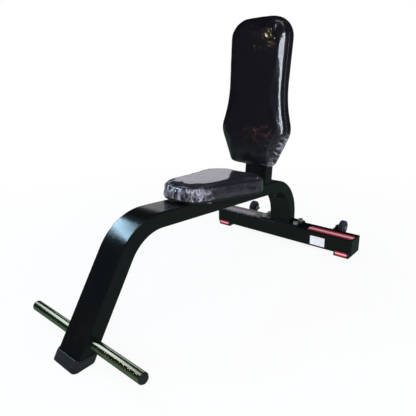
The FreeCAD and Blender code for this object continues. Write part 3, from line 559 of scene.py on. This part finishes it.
def cushion_block(pad, roundness, fullness):
    """A closed block near the CAD cushion's outline, with a rounded front edge, before it swells."""
    outline = resampled(pad.ring(tree_of(NODES[pad.node].data), pad.thickness / 3), VOXEL, True)
    steps = 6
    height = pad.thickness - 2 * MM
    levels = [(0.0, 0.0), (-fullness, PINNED), (-fullness, height - roundness)]
    for step in range(1, steps + 1):
        turn = math.pi / 2 * step / steps
        levels.append((roundness * (1 - math.cos(turn)) - fullness,
                       height - roundness * (1 - math.sin(turn))))
    inward = inward_directions(pad, outline)
    vertices, faces, count = [], [], len(outline)
    for inset, w in levels:
        for point, way in zip(outline, inward):
            x, v, _ = pad.local(point + way * inset)
            vertices.append(pad.world(x, v, w))
    for level in range(len(levels) - 1):
        for index in range(count):
            following = (index + 1) % count
            faces.append((level * count + index, level * count + following,
                          (level + 1) * count + following, (level + 1) * count + index))
    faces.append(tuple(range(count)))
    faces.append(tuple(range((len(levels) - 1) * count, len(levels) * count)))
    return mesh_from(f"{pad.node}_block", vertices, faces)


def inward_directions(pad, loop):
    """For each point of a loop round the pad, the direction square to the loop and towards its middle."""
    count, reach = len(loop), 3
    ways = []
    for index, point in enumerate(loop):
        chord = loop[(index + reach) % count] - loop[index - reach]
        way = chord.cross(pad.out).normalized()
        ways.append(way if way.dot(pad.world(0, 0, 0) - point) > 0 else -way)
    return ways


def applied(piece):
    """Bakes a piece's modifiers into its mesh."""
    graph = bpy.context.evaluated_depsgraph_get()
    mesh = bpy.data.meshes.new_from_object(piece.evaluated_get(graph))
    piece.modifiers.clear()
    piece.data = mesh
    return mesh


def inflate(pad, piece):
    """Blows the cushion up with the cloth solver, its foot held, and limits how far points move."""
    held = piece.vertex_groups.new(name="held")
    held.add([vertex.index for vertex in piece.data.vertices
              if pad.local(vertex.co)[2] < PINNED], 1.0, "REPLACE")
    cloth = piece.modifiers.new("cloth", "CLOTH")
    cloth.settings.use_pressure = True
    cloth.settings.uniform_pressure_force = PRESSURE
    cloth.settings.vertex_group_mass = "held"
    cloth.settings.effector_weights.gravity = 0
    cloth.settings.quality = 4
    cloth.point_cache.frame_start = 1
    cloth.point_cache.frame_end = LAST_FRAME
    start = [vertex.co.copy() for vertex in piece.data.vertices]
    scene = bpy.context.scene
    for step in range(1, LAST_FRAME + 1):
        scene.frame_set(step)
    applied(piece)
    for vertex, before in zip(piece.data.vertices, start):
        moved = vertex.co - before
        if moved.length > SWELL:
            vertex.co = before + moved.normalized() * SWELL
    scene.frame_set(1)


def relieve(pad, mesh, seam_height):
    """Presses a seam into the sides and lays soft pull wrinkles across the corners."""
    normals = [vertex.normal.copy() for vertex in mesh.vertices]
    for vertex, normal in zip(mesh.vertices, normals):
        x, v, w = pad.local(vertex.co)
        if w < PINNED:
            continue
        away = abs(w - seam_height) / (2.2 * MM)
        groove = 1.3 * MM * math.exp(-away * away)
        ripple = noise.noise(Vector((x, v, 0)) * 38) * 0.5 + noise.noise(Vector((x, v, w)) * 85) * 0.25
        flat = Vector((x, v, 0)).normalized()
        outward = X_AXIS * flat.x + pad.along * flat.y
        vertex.co += normal * ripple * 0.6 * MM - outward * groove


def fold_under(pad, mesh):
    """Opens the cushion's foot and folds the cover round the board's edge to a hem underneath."""
    whole = bmesh.new()
    whole.from_mesh(mesh)
    foot = 7 * MM
    everything = whole.verts[:] + whole.edges[:] + whole.faces[:]
    bmesh.ops.bisect_plane(whole, geom=everything, plane_co=pad.world(0, 0, foot),
                           plane_no=pad.out, clear_inner=True)
    border = {edge for edge in whole.edges if edge.is_boundary}
    first = next(iter(border))
    loop, edge, vertex = [], first, first.verts[0]
    while True:
        loop.append(vertex)
        vertex = edge.other_vert(vertex)
        if vertex is loop[0]:
            break
        edge = next(other for other in vertex.link_edges if other in border and other is not edge)
    inward = inward_directions(pad, [vertex.co for vertex in loop])
    board_gap = 0.3 * MM
    wall = 5.6 * MM
    levels = [(0.2, 4.0), (0.9, 1.2), (2.0, -0.3), (3.5, -0.9), (6.0, -0.9), (9.0, -0.9), (12.0, -0.9),
              (HEM / MM - 0.4, -0.9), (HEM / MM, -0.5), (HEM / MM - 0.2, -0.1)]
    rings = [(inset * MM, w * MM) for inset, w in levels]
    rings += [(wall, -0.1 * MM), (wall, pad.board_top + board_gap)]
    base = [(vertex.co.copy(), way) for vertex, way in zip(loop, inward)]
    previous = loop
    for inset, w in rings:
        current = []
        for point, way in base:
            x, v, _ = pad.local(point + way * inset)
            crease = 0.0
            if 3 * MM < inset and w < -0.5 * MM:
                crease = 0.35 * MM * abs(noise.noise(Vector((x, v, 0)) * 130))
            current.append(whole.verts.new(pad.world(x, v, w - crease)))
        for index in range(len(previous)):
            following = (index + 1) % len(previous)
            whole.faces.new((previous[index], previous[following], current[following], current[index]))
        previous = current
    whole.faces.new(previous)
    bmesh.ops.recalc_face_normals(whole, faces=whole.faces)
    whole.to_mesh(mesh)
    whole.free()


def cushion(pad, roundness, fullness, seam_share, welt):
    """The upholstered cushion: block, voxel remesh, inflation, seam and hem."""
    piece = bpy.data.objects.new(f"{pad.node}_cover", cushion_block(pad, roundness, fullness))
    bpy.context.scene.collection.objects.link(piece)
    remesh = piece.modifiers.new("remesh", "REMESH")
    remesh.mode = "VOXEL"
    remesh.voxel_size = VOXEL
    applied(piece)
    inflate(pad, piece)
    smooth = piece.modifiers.new("smooth", "SMOOTH")
    smooth.iterations = 3
    finer = piece.modifiers.new("finer", "SUBSURF")
    finer.levels = 1
    finer.render_levels = 1
    applied(piece)
    mesh = piece.data
    bpy.data.objects.remove(piece)
    seam_height = seam_share * pad.thickness
    relieve(pad, mesh, seam_height)
    skin = tree_of(mesh)
    fold_under(pad, mesh)
    whole = link(f"{pad.node}_cover", mesh, "frame", FINISHES["upholstery"])
    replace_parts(whole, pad.node)
    seam(pad, skin, seam_height, welt)
    staples(pad, skin)
    return whole, skin


def seam(pad, skin, height, welt):
    """A thin welt in the groove, and a row of stitches below it."""
    path = resampled(pad.ring(skin, height), 2.5 * MM, True)
    link(f"{pad.node}_welt", sweep("welt", path, welt, True, pad.out), "frame",
         FINISHES["upholstery"])
    below = resampled(pad.ring(skin, height - 5 * MM), 4.5 * MM, True)
    threads = []
    for index in range(len(below)):
        start, end = below[index], below[(index + 1) % len(below)]
        run = [start.lerp(end, share) for share in (0.15, 0.3, 0.5, 0.7, 0.85)]
        sizes = (0.12 * MM, 0.32 * MM, 0.38 * MM, 0.32 * MM, 0.12 * MM)
        threads.append(sweep("stitch", run, sizes.__getitem__, False, pad.out, sides=6))
    link(f"{pad.node}_stitches", merged("stitches", threads), "frame",
         FINISHES["upholstery"])


def staples(pad, skin):
    """Wire staples that hold the hem to the board."""
    foot = pad.ring(skin, 8 * MM)
    path = resampled(foot, 26 * MM, True)
    inward = inward_directions(pad, resampled(foot, 26 * MM, True))
    wires = []
    for index, (point, way) in enumerate(zip(path, inward)):
        along = pad.out.cross(way).normalized()
        x, v, _ = pad.local(point + way * 10 * MM)
        middle = pad.world(x, v, -1.3 * MM)
        half = 5 * MM
        bend = pad.out * 1.1 * MM
        run = [middle - along * half + bend, middle - along * half, middle - along * half * 0.8,
               middle + along * half * 0.8, middle + along * half, middle + along * half + bend]
        wires.append(sweep("staple", run, 0.45 * MM, False, way, sides=6))
    link(f"{pad.node}_staples", merged("staples", wires), "frame", FINISHES["zinc_steel"])


# ---------------------------------------------------------------- wrapping film

def crinkle(point):
    """Sharp folds of gathered film, 0 to 1, from two layers of ridged noise."""
    coarse = 1 - abs(noise.noise(point * 52)) / 0.6
    fine = 1 - abs(noise.noise(point * 135 + Vector((3.1, 1.7, 5.3)))) / 0.6
    return 0.6 * max(0.0, coarse) ** 3 + 0.4 * max(0.0, fine) ** 3


def wrap(pad, cover, slackness, veil, name):
    """Film over a cushion; slackness(x, v) says how far it is gathered round its sides, 0 to 1."""
    whole = bmesh.new()
    whole.from_mesh(cover.data)
    low = [face for face in whole.faces
           if any(pad.local(vertex.co)[2] < 6 * MM for vertex in face.verts)]
    bmesh.ops.delete(whole, geom=low, context="FACES")
    bmesh.ops.subdivide_edges(whole, edges=whole.edges[:], cuts=1, use_grid_fill=True, smooth=0.3)
    whole.normal_update()
    haze = []
    for vertex in whole.verts:
        x, v, w = pad.local(vertex.co)
        side = smooth_step(0.85, 0.35, vertex.normal.dot(pad.out))
        amount = slackness(x, v) * (0.03 + 0.97 * side)
        fold = crinkle(Vector((x, v, 0.45 * w)))
        haze.append(veil + 1.5 * amount * fold * fold)
        vertex.co += vertex.normal * (0.5 * MM + amount * 3.4 * MM * fold)
    mesh = bpy.data.meshes.new(name)
    whole.to_mesh(mesh)
    whole.free()
    layer = mesh.attributes.new("bunched", "FLOAT", "POINT")
    layer.data.foreach_set("value", np.array(haze, np.float32))
    piece = link(name, mesh, "frame", FILM)
    shell = piece.modifiers.new("shell", "SOLIDIFY")
    shell.thickness = 0.1 * MM
    return piece


def seat_slackness(pad):
    """Gathered round the front and the front corners, tight elsewhere."""
    half = (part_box(pad.node)[1].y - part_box(pad.node)[0].y) / 2

    def amount(_, v):
        front = smooth_step(-0.42 * half, -0.88 * half, v)
        rear_corner = 0.45 * smooth_step(0.82 * half, 0.97 * half, v)
        return max(front, rear_corner, 0.04)
    return amount


def back_slackness(pad):
    """Gathered at the lower right side, with a little slack down both edges."""
    low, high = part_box(pad.node)
    half = (high.z - low.z) / 2

    def amount(x, v):
        lower = smooth_step(-0.50 * half, -0.60 * half, v) * smooth_step(40 * MM, 90 * MM, x)
        return 0.7 * lower + 0.006
    return amount


# ---------------------------------------------------------------- welds

def weld_bead(name, paths, radius=2.6 * MM, pitch=3.2 * MM):
    """Rippled weld metal under the paint; paths are lists of (points, closed, flat normal)."""
    beads = []
    for points, closed, flat in paths:
        run = resampled(points, pitch / 4, closed)

        def ripple(index, count=len(run), closed=closed):
            taper = 1.0 if closed else min(1.0, (1 + min(index, count - 1 - index)) / 6)
            return radius * taper * (0.86 + 0.14 * abs(math.sin(math.pi * index / 4)))
        beads.append(sweep("bead", run, ripple, closed, flat))
    return link(name, merged(name, beads), "frame", FINISHES["frame_paint"])


def across(point, half):
    """A straight run across the bench through a point."""
    return [Vector((-half, point.y, point.z)), Vector((half, point.y, point.z))]


def rounded_loop(middle, first, second, half_first, half_second, corner):
    """A rounded rectangle in the plane of two directions."""
    points = []
    for quarter in range(4):
        sign_first = 1 if quarter in (0, 3) else -1
        sign_second = 1 if quarter in (0, 1) else -1
        for step in range(7):
            turn = math.pi / 2 * (quarter + step / 6)
            points.append(middle
                          + first * (sign_first * (half_first - corner) + corner * math.cos(turn))
                          + second * (sign_second * (half_second - corner) + corner * math.sin(turn)))
    return points


def welds():
    tube_low, tube_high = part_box("main_tube")
    half = tube_high.x
    corner = 5 * MM
    inner = half - corner

    post = points_of("back_post")
    feet = [support(post, Vector((0, side, -1))) for side in (-1, 1)]
    weld_bead("post_weld", [(across(foot, inner), False, Vector((0, 0, 1))) for foot in feet])

    flange_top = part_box("rear_flange")[1].z
    leg_middle = Vector((0, centre("rear_flange").y, flange_top))
    depth = tube_high.y - leg_middle.y
    loop = rounded_loop(leg_middle, X_AXIS, Vector((0, 1, 0)), half, depth, corner)
    weld_bead("flange_weld", [(loop, True, Vector((0, 0, 1)))], radius=3.4 * MM)

    bar_low, bar_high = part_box("foot_bar")
    bar_middle, bar_radius = (bar_low + bar_high) / 2, (bar_high.z - bar_low.z) / 2
    rings = []
    for side in (-1, 1):
        around = [Vector((side * half, bar_middle.y + bar_radius * math.cos(math.tau * step / 48),
                          bar_middle.z + bar_radius * math.sin(math.tau * step / 48)))
                  for step in range(48)]
        rings.append((around, True, X_AXIS))
    weld_bead("bar_welds", rings, radius=1.8 * MM, pitch=2.6 * MM)

    runs = []
    for node in ("back_pad_plates", "seat_pad_plates"):
        pad = PADS[node.removesuffix("_plates")]
        for solid in islands(node):
            for side in (-1, 1):
                edge = support(solid, pad.along * side - pad.out)
                runs.append((across(edge, inner), False, pad.out))
    weld_bead("plate_welds", runs, radius=2.2 * MM)

    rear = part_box("crossbar")[1].y
    runs = []
    for name in ("left", "right"):
        low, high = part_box(f"wheel_bracket_{name}")
        root = [point for point in points_of(f"wheel_bracket_{name}") if point.y < rear + 0.1 * MM]
        bottom, top = min(point.z for point in root), max(point.z for point in root)
        middle = Vector(((low.x + high.x) / 2, rear, (bottom + top) / 2))
        loop = rounded_loop(middle, X_AXIS, Vector((0, 0, 1)), (high.x - low.x) / 2, (top - bottom) / 2,
                            1 * MM)
        runs.append((loop, True, Vector((0, 1, 0))))
    weld_bead("bracket_welds", runs, radius=2.0 * MM, pitch=2.6 * MM)


# ---------------------------------------------------------------- front shoe

def front_shoe():
    """The moulded front shoe: round corners, a soft rim round the tube and a groove on its side."""
    low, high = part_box("front_foot")
    points = points_of("front_foot")
    sole = [point.y for point in points if point.z < low.z + 0.1 * MM]
    crown = [point.y for point in points if point.z > high.z - 0.1 * MM]
    start = (min(sole) + max(sole)) / 2
    lean = ((min(crown) + max(crown)) / 2 - start) / (high.z - low.z)
    half_x, half_y, corner = high.x, (max(sole) - min(sole)) / 2, 15 * MM
    levels = [(9, 0), (2.2, 0), (0.9, 0.35), (0.2, 1.3), (0, 3), (0, 9), (0.2, 10), (1.0, 10.6), (1.0, 11.6),
              (0.2, 12.2), (0, 13.2), (0.1, 19), (0.5, 22.5), (1.3, 25), (2.4, 26.5), (3.4, 27), (4.3, 26.7),
              (5.0, 25.9), (5.3, 24.5), (5.3, 19)]
    vertices, faces = [], []
    for inset, z in levels:
        inset, z = inset * MM, z * MM
        vertices += rounded_loop(Vector((0, start + lean * z, low.z + z)), X_AXIS, Vector((0, 1, 0)),
                                 half_x - inset, half_y - inset, corner - inset)
    count = len(vertices) // len(levels)
    for level in range(len(levels) - 1):
        for index in range(count):
            other = (index + 1) % count
            faces.append((level * count + index, level * count + other,
                          (level + 1) * count + other, (level + 1) * count + index))
    faces += [tuple(range(count)), tuple(range((len(levels) - 1) * count, len(levels) * count))]
    shoe = link("front_foot_moulded", mesh_from("shoe", vertices, faces), "frame",
                FINISHES["shoe_rubber"])
    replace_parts(shoe, "front_foot")


# ---------------------------------------------------------------- wheels

def turned(name, profile, middle, segments=96):
    """A closed outline of (x, radius) turned about the wheel's axis."""
    vertices, faces, count = [], [], len(profile)
    for step in range(segments):
        turn = math.tau * step / segments
        for x, radius in profile:
            vertices.append(middle + Vector((x, radius * math.cos(turn), radius * math.sin(turn))))
    for step in range(segments):
        following = (step + 1) % segments
        for index in range(count):
            other = (index + 1) % count
            faces.append((step * count + index, step * count + other,
                          following * count + other, following * count + index))
    return mesh_from(name, vertices, faces)


def radii(node, middle):
    """Smallest and largest distance of a node from the wheel's axis."""
    away = [math.hypot(point.y - middle.y, point.z - middle.z) for point in points_of(node)]
    return min(away), max(away)


def tyre_profile(half, inner, outer):
    """Flat sides with a raised rim, round shoulders and a tread with three grooves."""
    shoulder, groove = 4.5 * MM, 1.1 * MM
    right = [(half - 0.6 * MM, inner), (half - 0.6 * MM, inner + 1.6 * MM), (half, inner + 2.2 * MM),
             (half, outer - shoulder)]
    for step in range(1, 7):
        turn = math.pi / 2 * step / 6
        right.append((half - shoulder * (1 - math.cos(turn)), outer - shoulder * (1 - math.sin(turn))))
    tread = []
    for middle in (4 * MM, 0.0):
        tread += [(middle + 1.0 * MM, outer), (middle + 0.6 * MM, outer - groove),
                  (middle - 0.6 * MM, outer - groove), (middle - 1.0 * MM, outer)]
    right += [place for place in tread if place[0] > 0]
    return right + [(-x, radius) for x, radius in reversed(right)]


def hub_profile(half, inner, outer):
    """Boss, thin web and rim, with small rounds."""
    boss, rim, web = inner + 4 * MM, outer - 3.4 * MM, 2.2 * MM
    right = [(half, inner), (half, boss - 0.5 * MM), (half - 0.5 * MM, boss), (web + 1 * MM, boss + 0.4 * MM),
             (web, boss + 1.4 * MM), (web, rim - 1.4 * MM), (web + 1 * MM, rim - 0.4 * MM),
             (half - 1.5 * MM, rim), (half - 1 * MM, rim + 0.5 * MM), (half - 1 * MM, outer)]
    return right + [(-x, radius) for x, radius in reversed(right)]


def hub_ribs(middle, half, inner, outer, count=8):
    """Tapered ribs between the boss and the rim on both sides of the web."""
    ribs = []
    start, end = inner + 3.5 * MM, outer - 3 * MM
    for index in range(count):
        turn = math.tau * index / count
        out = Vector((0, math.cos(turn), math.sin(turn)))
        side = X_AXIS.cross(out)
        outline = []
        for reach, width, height in ((start, 1.5 * MM, half - 1.2 * MM), (end, 1.0 * MM, half - 3 * MM)):
            for x, share in ((-height, 0.8), (-height * 0.5, 1), (height * 0.5, 1), (height, 0.8)):
                outline.append((reach, width * share, x))
        vertices = [middle + out * reach + side * width + X_AXIS * x for reach, width, x in outline]
        vertices += [middle + out * reach - side * width + X_AXIS * x for reach, width, x in outline]
        faces = [(0, 1, 5, 4), (1, 2, 6, 5), (2, 3, 7, 6), (8, 9, 13, 12), (9, 10, 14, 13), (10, 11, 15, 14),
                 (0, 8, 12, 4), (3, 11, 15, 7), (0, 1, 2, 3, 11, 10, 9, 8), (4, 5, 6, 7, 15, 14, 13, 12)]
        ribs.append(mesh_from("rib", vertices, faces))
    return ribs


def wheels():
    for joint in frame["joints"]:
        body = joint["child"]
        name = body.removeprefix("wheel_")
        middle = Vector(joint["pos_m"])
        tyre, hub = f"wheel_tyre_{name}", f"wheel_hub_{name}"
        half = (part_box(tyre)[1].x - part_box(tyre)[0].x) / 2
        inner, outer = radii(tyre, middle)
        mesh = turned("tyre", tyre_profile(half, inner, outer), middle)
        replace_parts(link(f"{tyre}_tread", mesh, body, FINISHES["wheel_rubber"]), tyre)
        bore = radii(hub, middle)[0]
        parts = [turned("hub", hub_profile(half, bore, inner), middle)] + hub_ribs(middle, half, bore, inner)
        mesh = merged("hub", parts)
        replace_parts(link(f"{hub}_ribbed", mesh, body, FINISHES["hub_plastic"]), hub)


# ---------------------------------------------------------------- stage, light and camera

def world_light():
    """White to the camera, an even grey for diffuse light and a dark room in reflections."""
    world = bpy.data.worlds.new("studio")
    bpy.context.scene.world = world
    world.use_nodes = True
    nodes, links = world.node_tree.nodes, world.node_tree.links
    path = nodes.new("ShaderNodeLightPath")
    shades = {"seen": ((1.0, 1.0, 1.0), 1.0), "lit": ((0.85, 0.9, 1.0), 0.55),
              "mirrored": ((0.55, 0.7, 1.0), 0.010)}
    fields = {}
    for name, (color, strength) in shades.items():
        fields[name] = nodes.new("ShaderNodeBackground")
        fields[name].inputs["Color"].default_value = (*color, 1)
        fields[name].inputs["Strength"].default_value = strength
    inner, outer = nodes.new("ShaderNodeMixShader"), nodes.new("ShaderNodeMixShader")
    links.new(path.outputs["Is Glossy Ray"], inner.inputs[0])
    links.new(fields["lit"].outputs[0], inner.inputs[1])
    links.new(fields["mirrored"].outputs[0], inner.inputs[2])
    links.new(path.outputs["Is Camera Ray"], outer.inputs[0])
    links.new(inner.outputs[0], outer.inputs[1])
    links.new(fields["seen"].outputs[0], outer.inputs[2])
    links.new(outer.outputs[0], nodes["World Output"].inputs["Surface"])


def floor():
    """A plain pale floor; in reflections it is the dark green of a gym floor."""
    reach = 12.0
    mesh = bpy.data.meshes.new("floor")
    mesh.from_pydata([(-reach, -reach, 0), (reach, -reach, 0), (reach, reach, 0), (-reach, reach, 0)],
                     [], [(0, 1, 2, 3)])
    plane = bpy.data.objects.new("floor", mesh)
    bpy.context.scene.collection.objects.link(plane)
    material = bpy.data.materials.new("floor")
    material.use_nodes = True
    nodes, links = material.node_tree.nodes, material.node_tree.links
    nodes.remove(nodes["Principled BSDF"])
    path = nodes.new("ShaderNodeLightPath")
    pale, glow, green = (nodes.new("ShaderNodeBsdfDiffuse"), nodes.new("ShaderNodeEmission"),
                         nodes.new("ShaderNodeEmission"))
    pale.inputs["Color"].default_value = (0.9, 0.9, 0.9, 1)
    glow.inputs["Strength"].default_value = 1.0
    green.inputs["Color"].default_value = (0.60, 1.0, 0.68, 1)
    green.inputs["Strength"].default_value = 0.10
    lit, whole = nodes.new("ShaderNodeMixShader"), nodes.new("ShaderNodeMixShader")
    place, away = nodes.new("ShaderNodeTexCoord"), nodes.new("ShaderNodeVectorMath")
    away.operation = "LENGTH"
    links.new(place.outputs["Object"], away.inputs[0])
    fade = nodes.new("ShaderNodeMapRange")
    fade.inputs["From Min"].default_value = 0.6
    fade.inputs["From Max"].default_value = 2.0
    fade.inputs["To Min"].default_value = 0.90
    links.new(away.outputs["Value"], fade.inputs["Value"])
    links.new(fade.outputs[0], lit.inputs[0])
    links.new(pale.outputs[0], lit.inputs[1])
    links.new(glow.outputs[0], lit.inputs[2])
    links.new(path.outputs["Is Glossy Ray"], whole.inputs[0])
    links.new(lit.outputs[0], whole.inputs[1])
    links.new(green.outputs[0], whole.inputs[2])
    links.new(whole.outputs[0], nodes["Material Output"].inputs["Surface"])
    mesh.materials.append(material)


def panel(name, target, way, distance, size, color, radiance, link_state=None, linked=(),
          mirrored=True):
    """A soft panel that faces the target from a direction; radiance is how bright it looks.

    It lights only the linked objects (INCLUDE) or all but those (EXCLUDE), and is left out of
    glossy reflections if it isn't mirrored.
    """
    light = bpy.data.lights.new(name, "AREA")
    light.shape = "RECTANGLE"
    light.size, light.size_y = size
    light.color = color
    light.energy = radiance * math.pi * size[0] * size[1]
    holder = bpy.data.objects.new(name, light)
    away = Vector(way).normalized()
    holder.location = Vector(target) + away * distance
    holder.rotation_mode = "QUATERNION"
    holder.rotation_quaternion = away.to_track_quat("Z", "Y")
    holder.visible_camera = False
    holder.visible_glossy = mirrored
    bpy.context.scene.collection.objects.link(holder)
    if link_state:
        group = bpy.data.collections.new(f"{name}_group")
        for obj in linked:
            group.objects.link(obj)
        holder.light_linking.receiver_collection = group
        for entry in group.collection_objects:
            entry.light_linking.link_state = link_state


def lights():
    knee = Vector((0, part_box("main_tube")[0].y * 0.65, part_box("main_tube")[1].z * 0.92))
    seat, back = centre("seat_pad"), centre("back_pad")
    upper_back = back + Vector((0.06, 0.02, 0.21))
    window = (-0.76, -0.12, 0.63)
    bar = NODES["foot_bar"]
    back_pad = [bpy.data.objects[name] for name in ("back_film", "back_pad_cover", "back_pad_welt")]
    panel("window", knee, window, 2.4, (1.3, 0.12), (0.50, 0.78, 1.0), 34, "EXCLUDE", [bar] + back_pad)
    panel("bar_light", knee, window, 2.4, (1.6, 1.0), (0.90, 0.96, 1.0), 1.0, "INCLUDE", [bar])
    panel("left_wall", seat, (-0.70, 0.70, 0.19), 4.0, (2.2, 1.1), (0.98, 0.98, 1.0), 0.64)
    front = (0.70, -0.70, 0.14)
    panel("front_strip", back, front, 3.2, (1.6, 2.6), (0.86, 0.92, 1.0), 7.5, "INCLUDE", back_pad)
    panel("front_fill", back, front, 3.2, (1.3, 2.6), (0.90, 0.94, 1.0), 7.5, "EXCLUDE", back_pad,
          mirrored=False)
    panel("front_sheen", back, front, 3.2, (1.3, 2.6), (0.90, 0.94, 1.0), 1.5, "EXCLUDE", back_pad)
    panel("lamp", upper_back, (-0.52, -0.82, 0.25), 3.0, (0.06, 0.04), (1.0, 0.78, 0.42), 32)
    panel("streak", back, (-0.50, -0.865, -0.03), 3.0, (0.4, 0.012), (1.0, 0.50, 0.30), 3)
    panel("sky", seat, (0.1, -0.2, 1.0), 3.5, (2.0, 2.0), (1.0, 1.0, 1.0), 1.0)


CAMERA = {"azimuth": 41.13, "elevation": 18.97, "roll": -1.45, "lens": 34.92,
          "place": (0.8966, -1.0567, 0.7544)}


def camera():
    azimuth, elevation, roll = (math.radians(CAMERA[key]) for key in ("azimuth", "elevation", "roll"))
    back = Vector((math.sin(azimuth) * math.cos(elevation), -math.cos(azimuth) * math.cos(elevation),
                   math.sin(elevation)))
    level = Vector((math.cos(azimuth), math.sin(azimuth), 0))
    upright = back.cross(level)
    right = level * math.cos(roll) + upright * math.sin(roll)
    top = upright * math.cos(roll) - level * math.sin(roll)
    turn = Matrix((right, top, back)).transposed().to_4x4()
    data = bpy.data.cameras.new("camera")
    data.lens = CAMERA["lens"]
    holder = bpy.data.objects.new("camera", data)
    holder.matrix_world = Matrix.Translation(CAMERA["place"]) @ turn
    bpy.context.scene.collection.objects.link(holder)
    bpy.context.scene.camera = holder


# ---------------------------------------------------------------- building

PADS = {name: Pad(name) for name in ("seat_pad", "back_pad")}
finish_cad_nodes()
seat_cover, _ = cushion(PADS["seat_pad"], 12 * MM, 1.5 * MM, 0.86, 1.6 * MM)
back_cover, _ = cushion(PADS["back_pad"], 22 * MM, 4 * MM, 0.50, 1.1 * MM)
wrap(PADS["seat_pad"], seat_cover, seat_slackness(PADS["seat_pad"]), 0.02, "seat_film")
wrap(PADS["back_pad"], back_cover, back_slackness(PADS["back_pad"]), 0.0, "back_film")
welds()
front_shoe()
wheels()
world_light()
floor()
lights()
camera()
bpy.context.scene.view_settings.view_transform = "Standard"
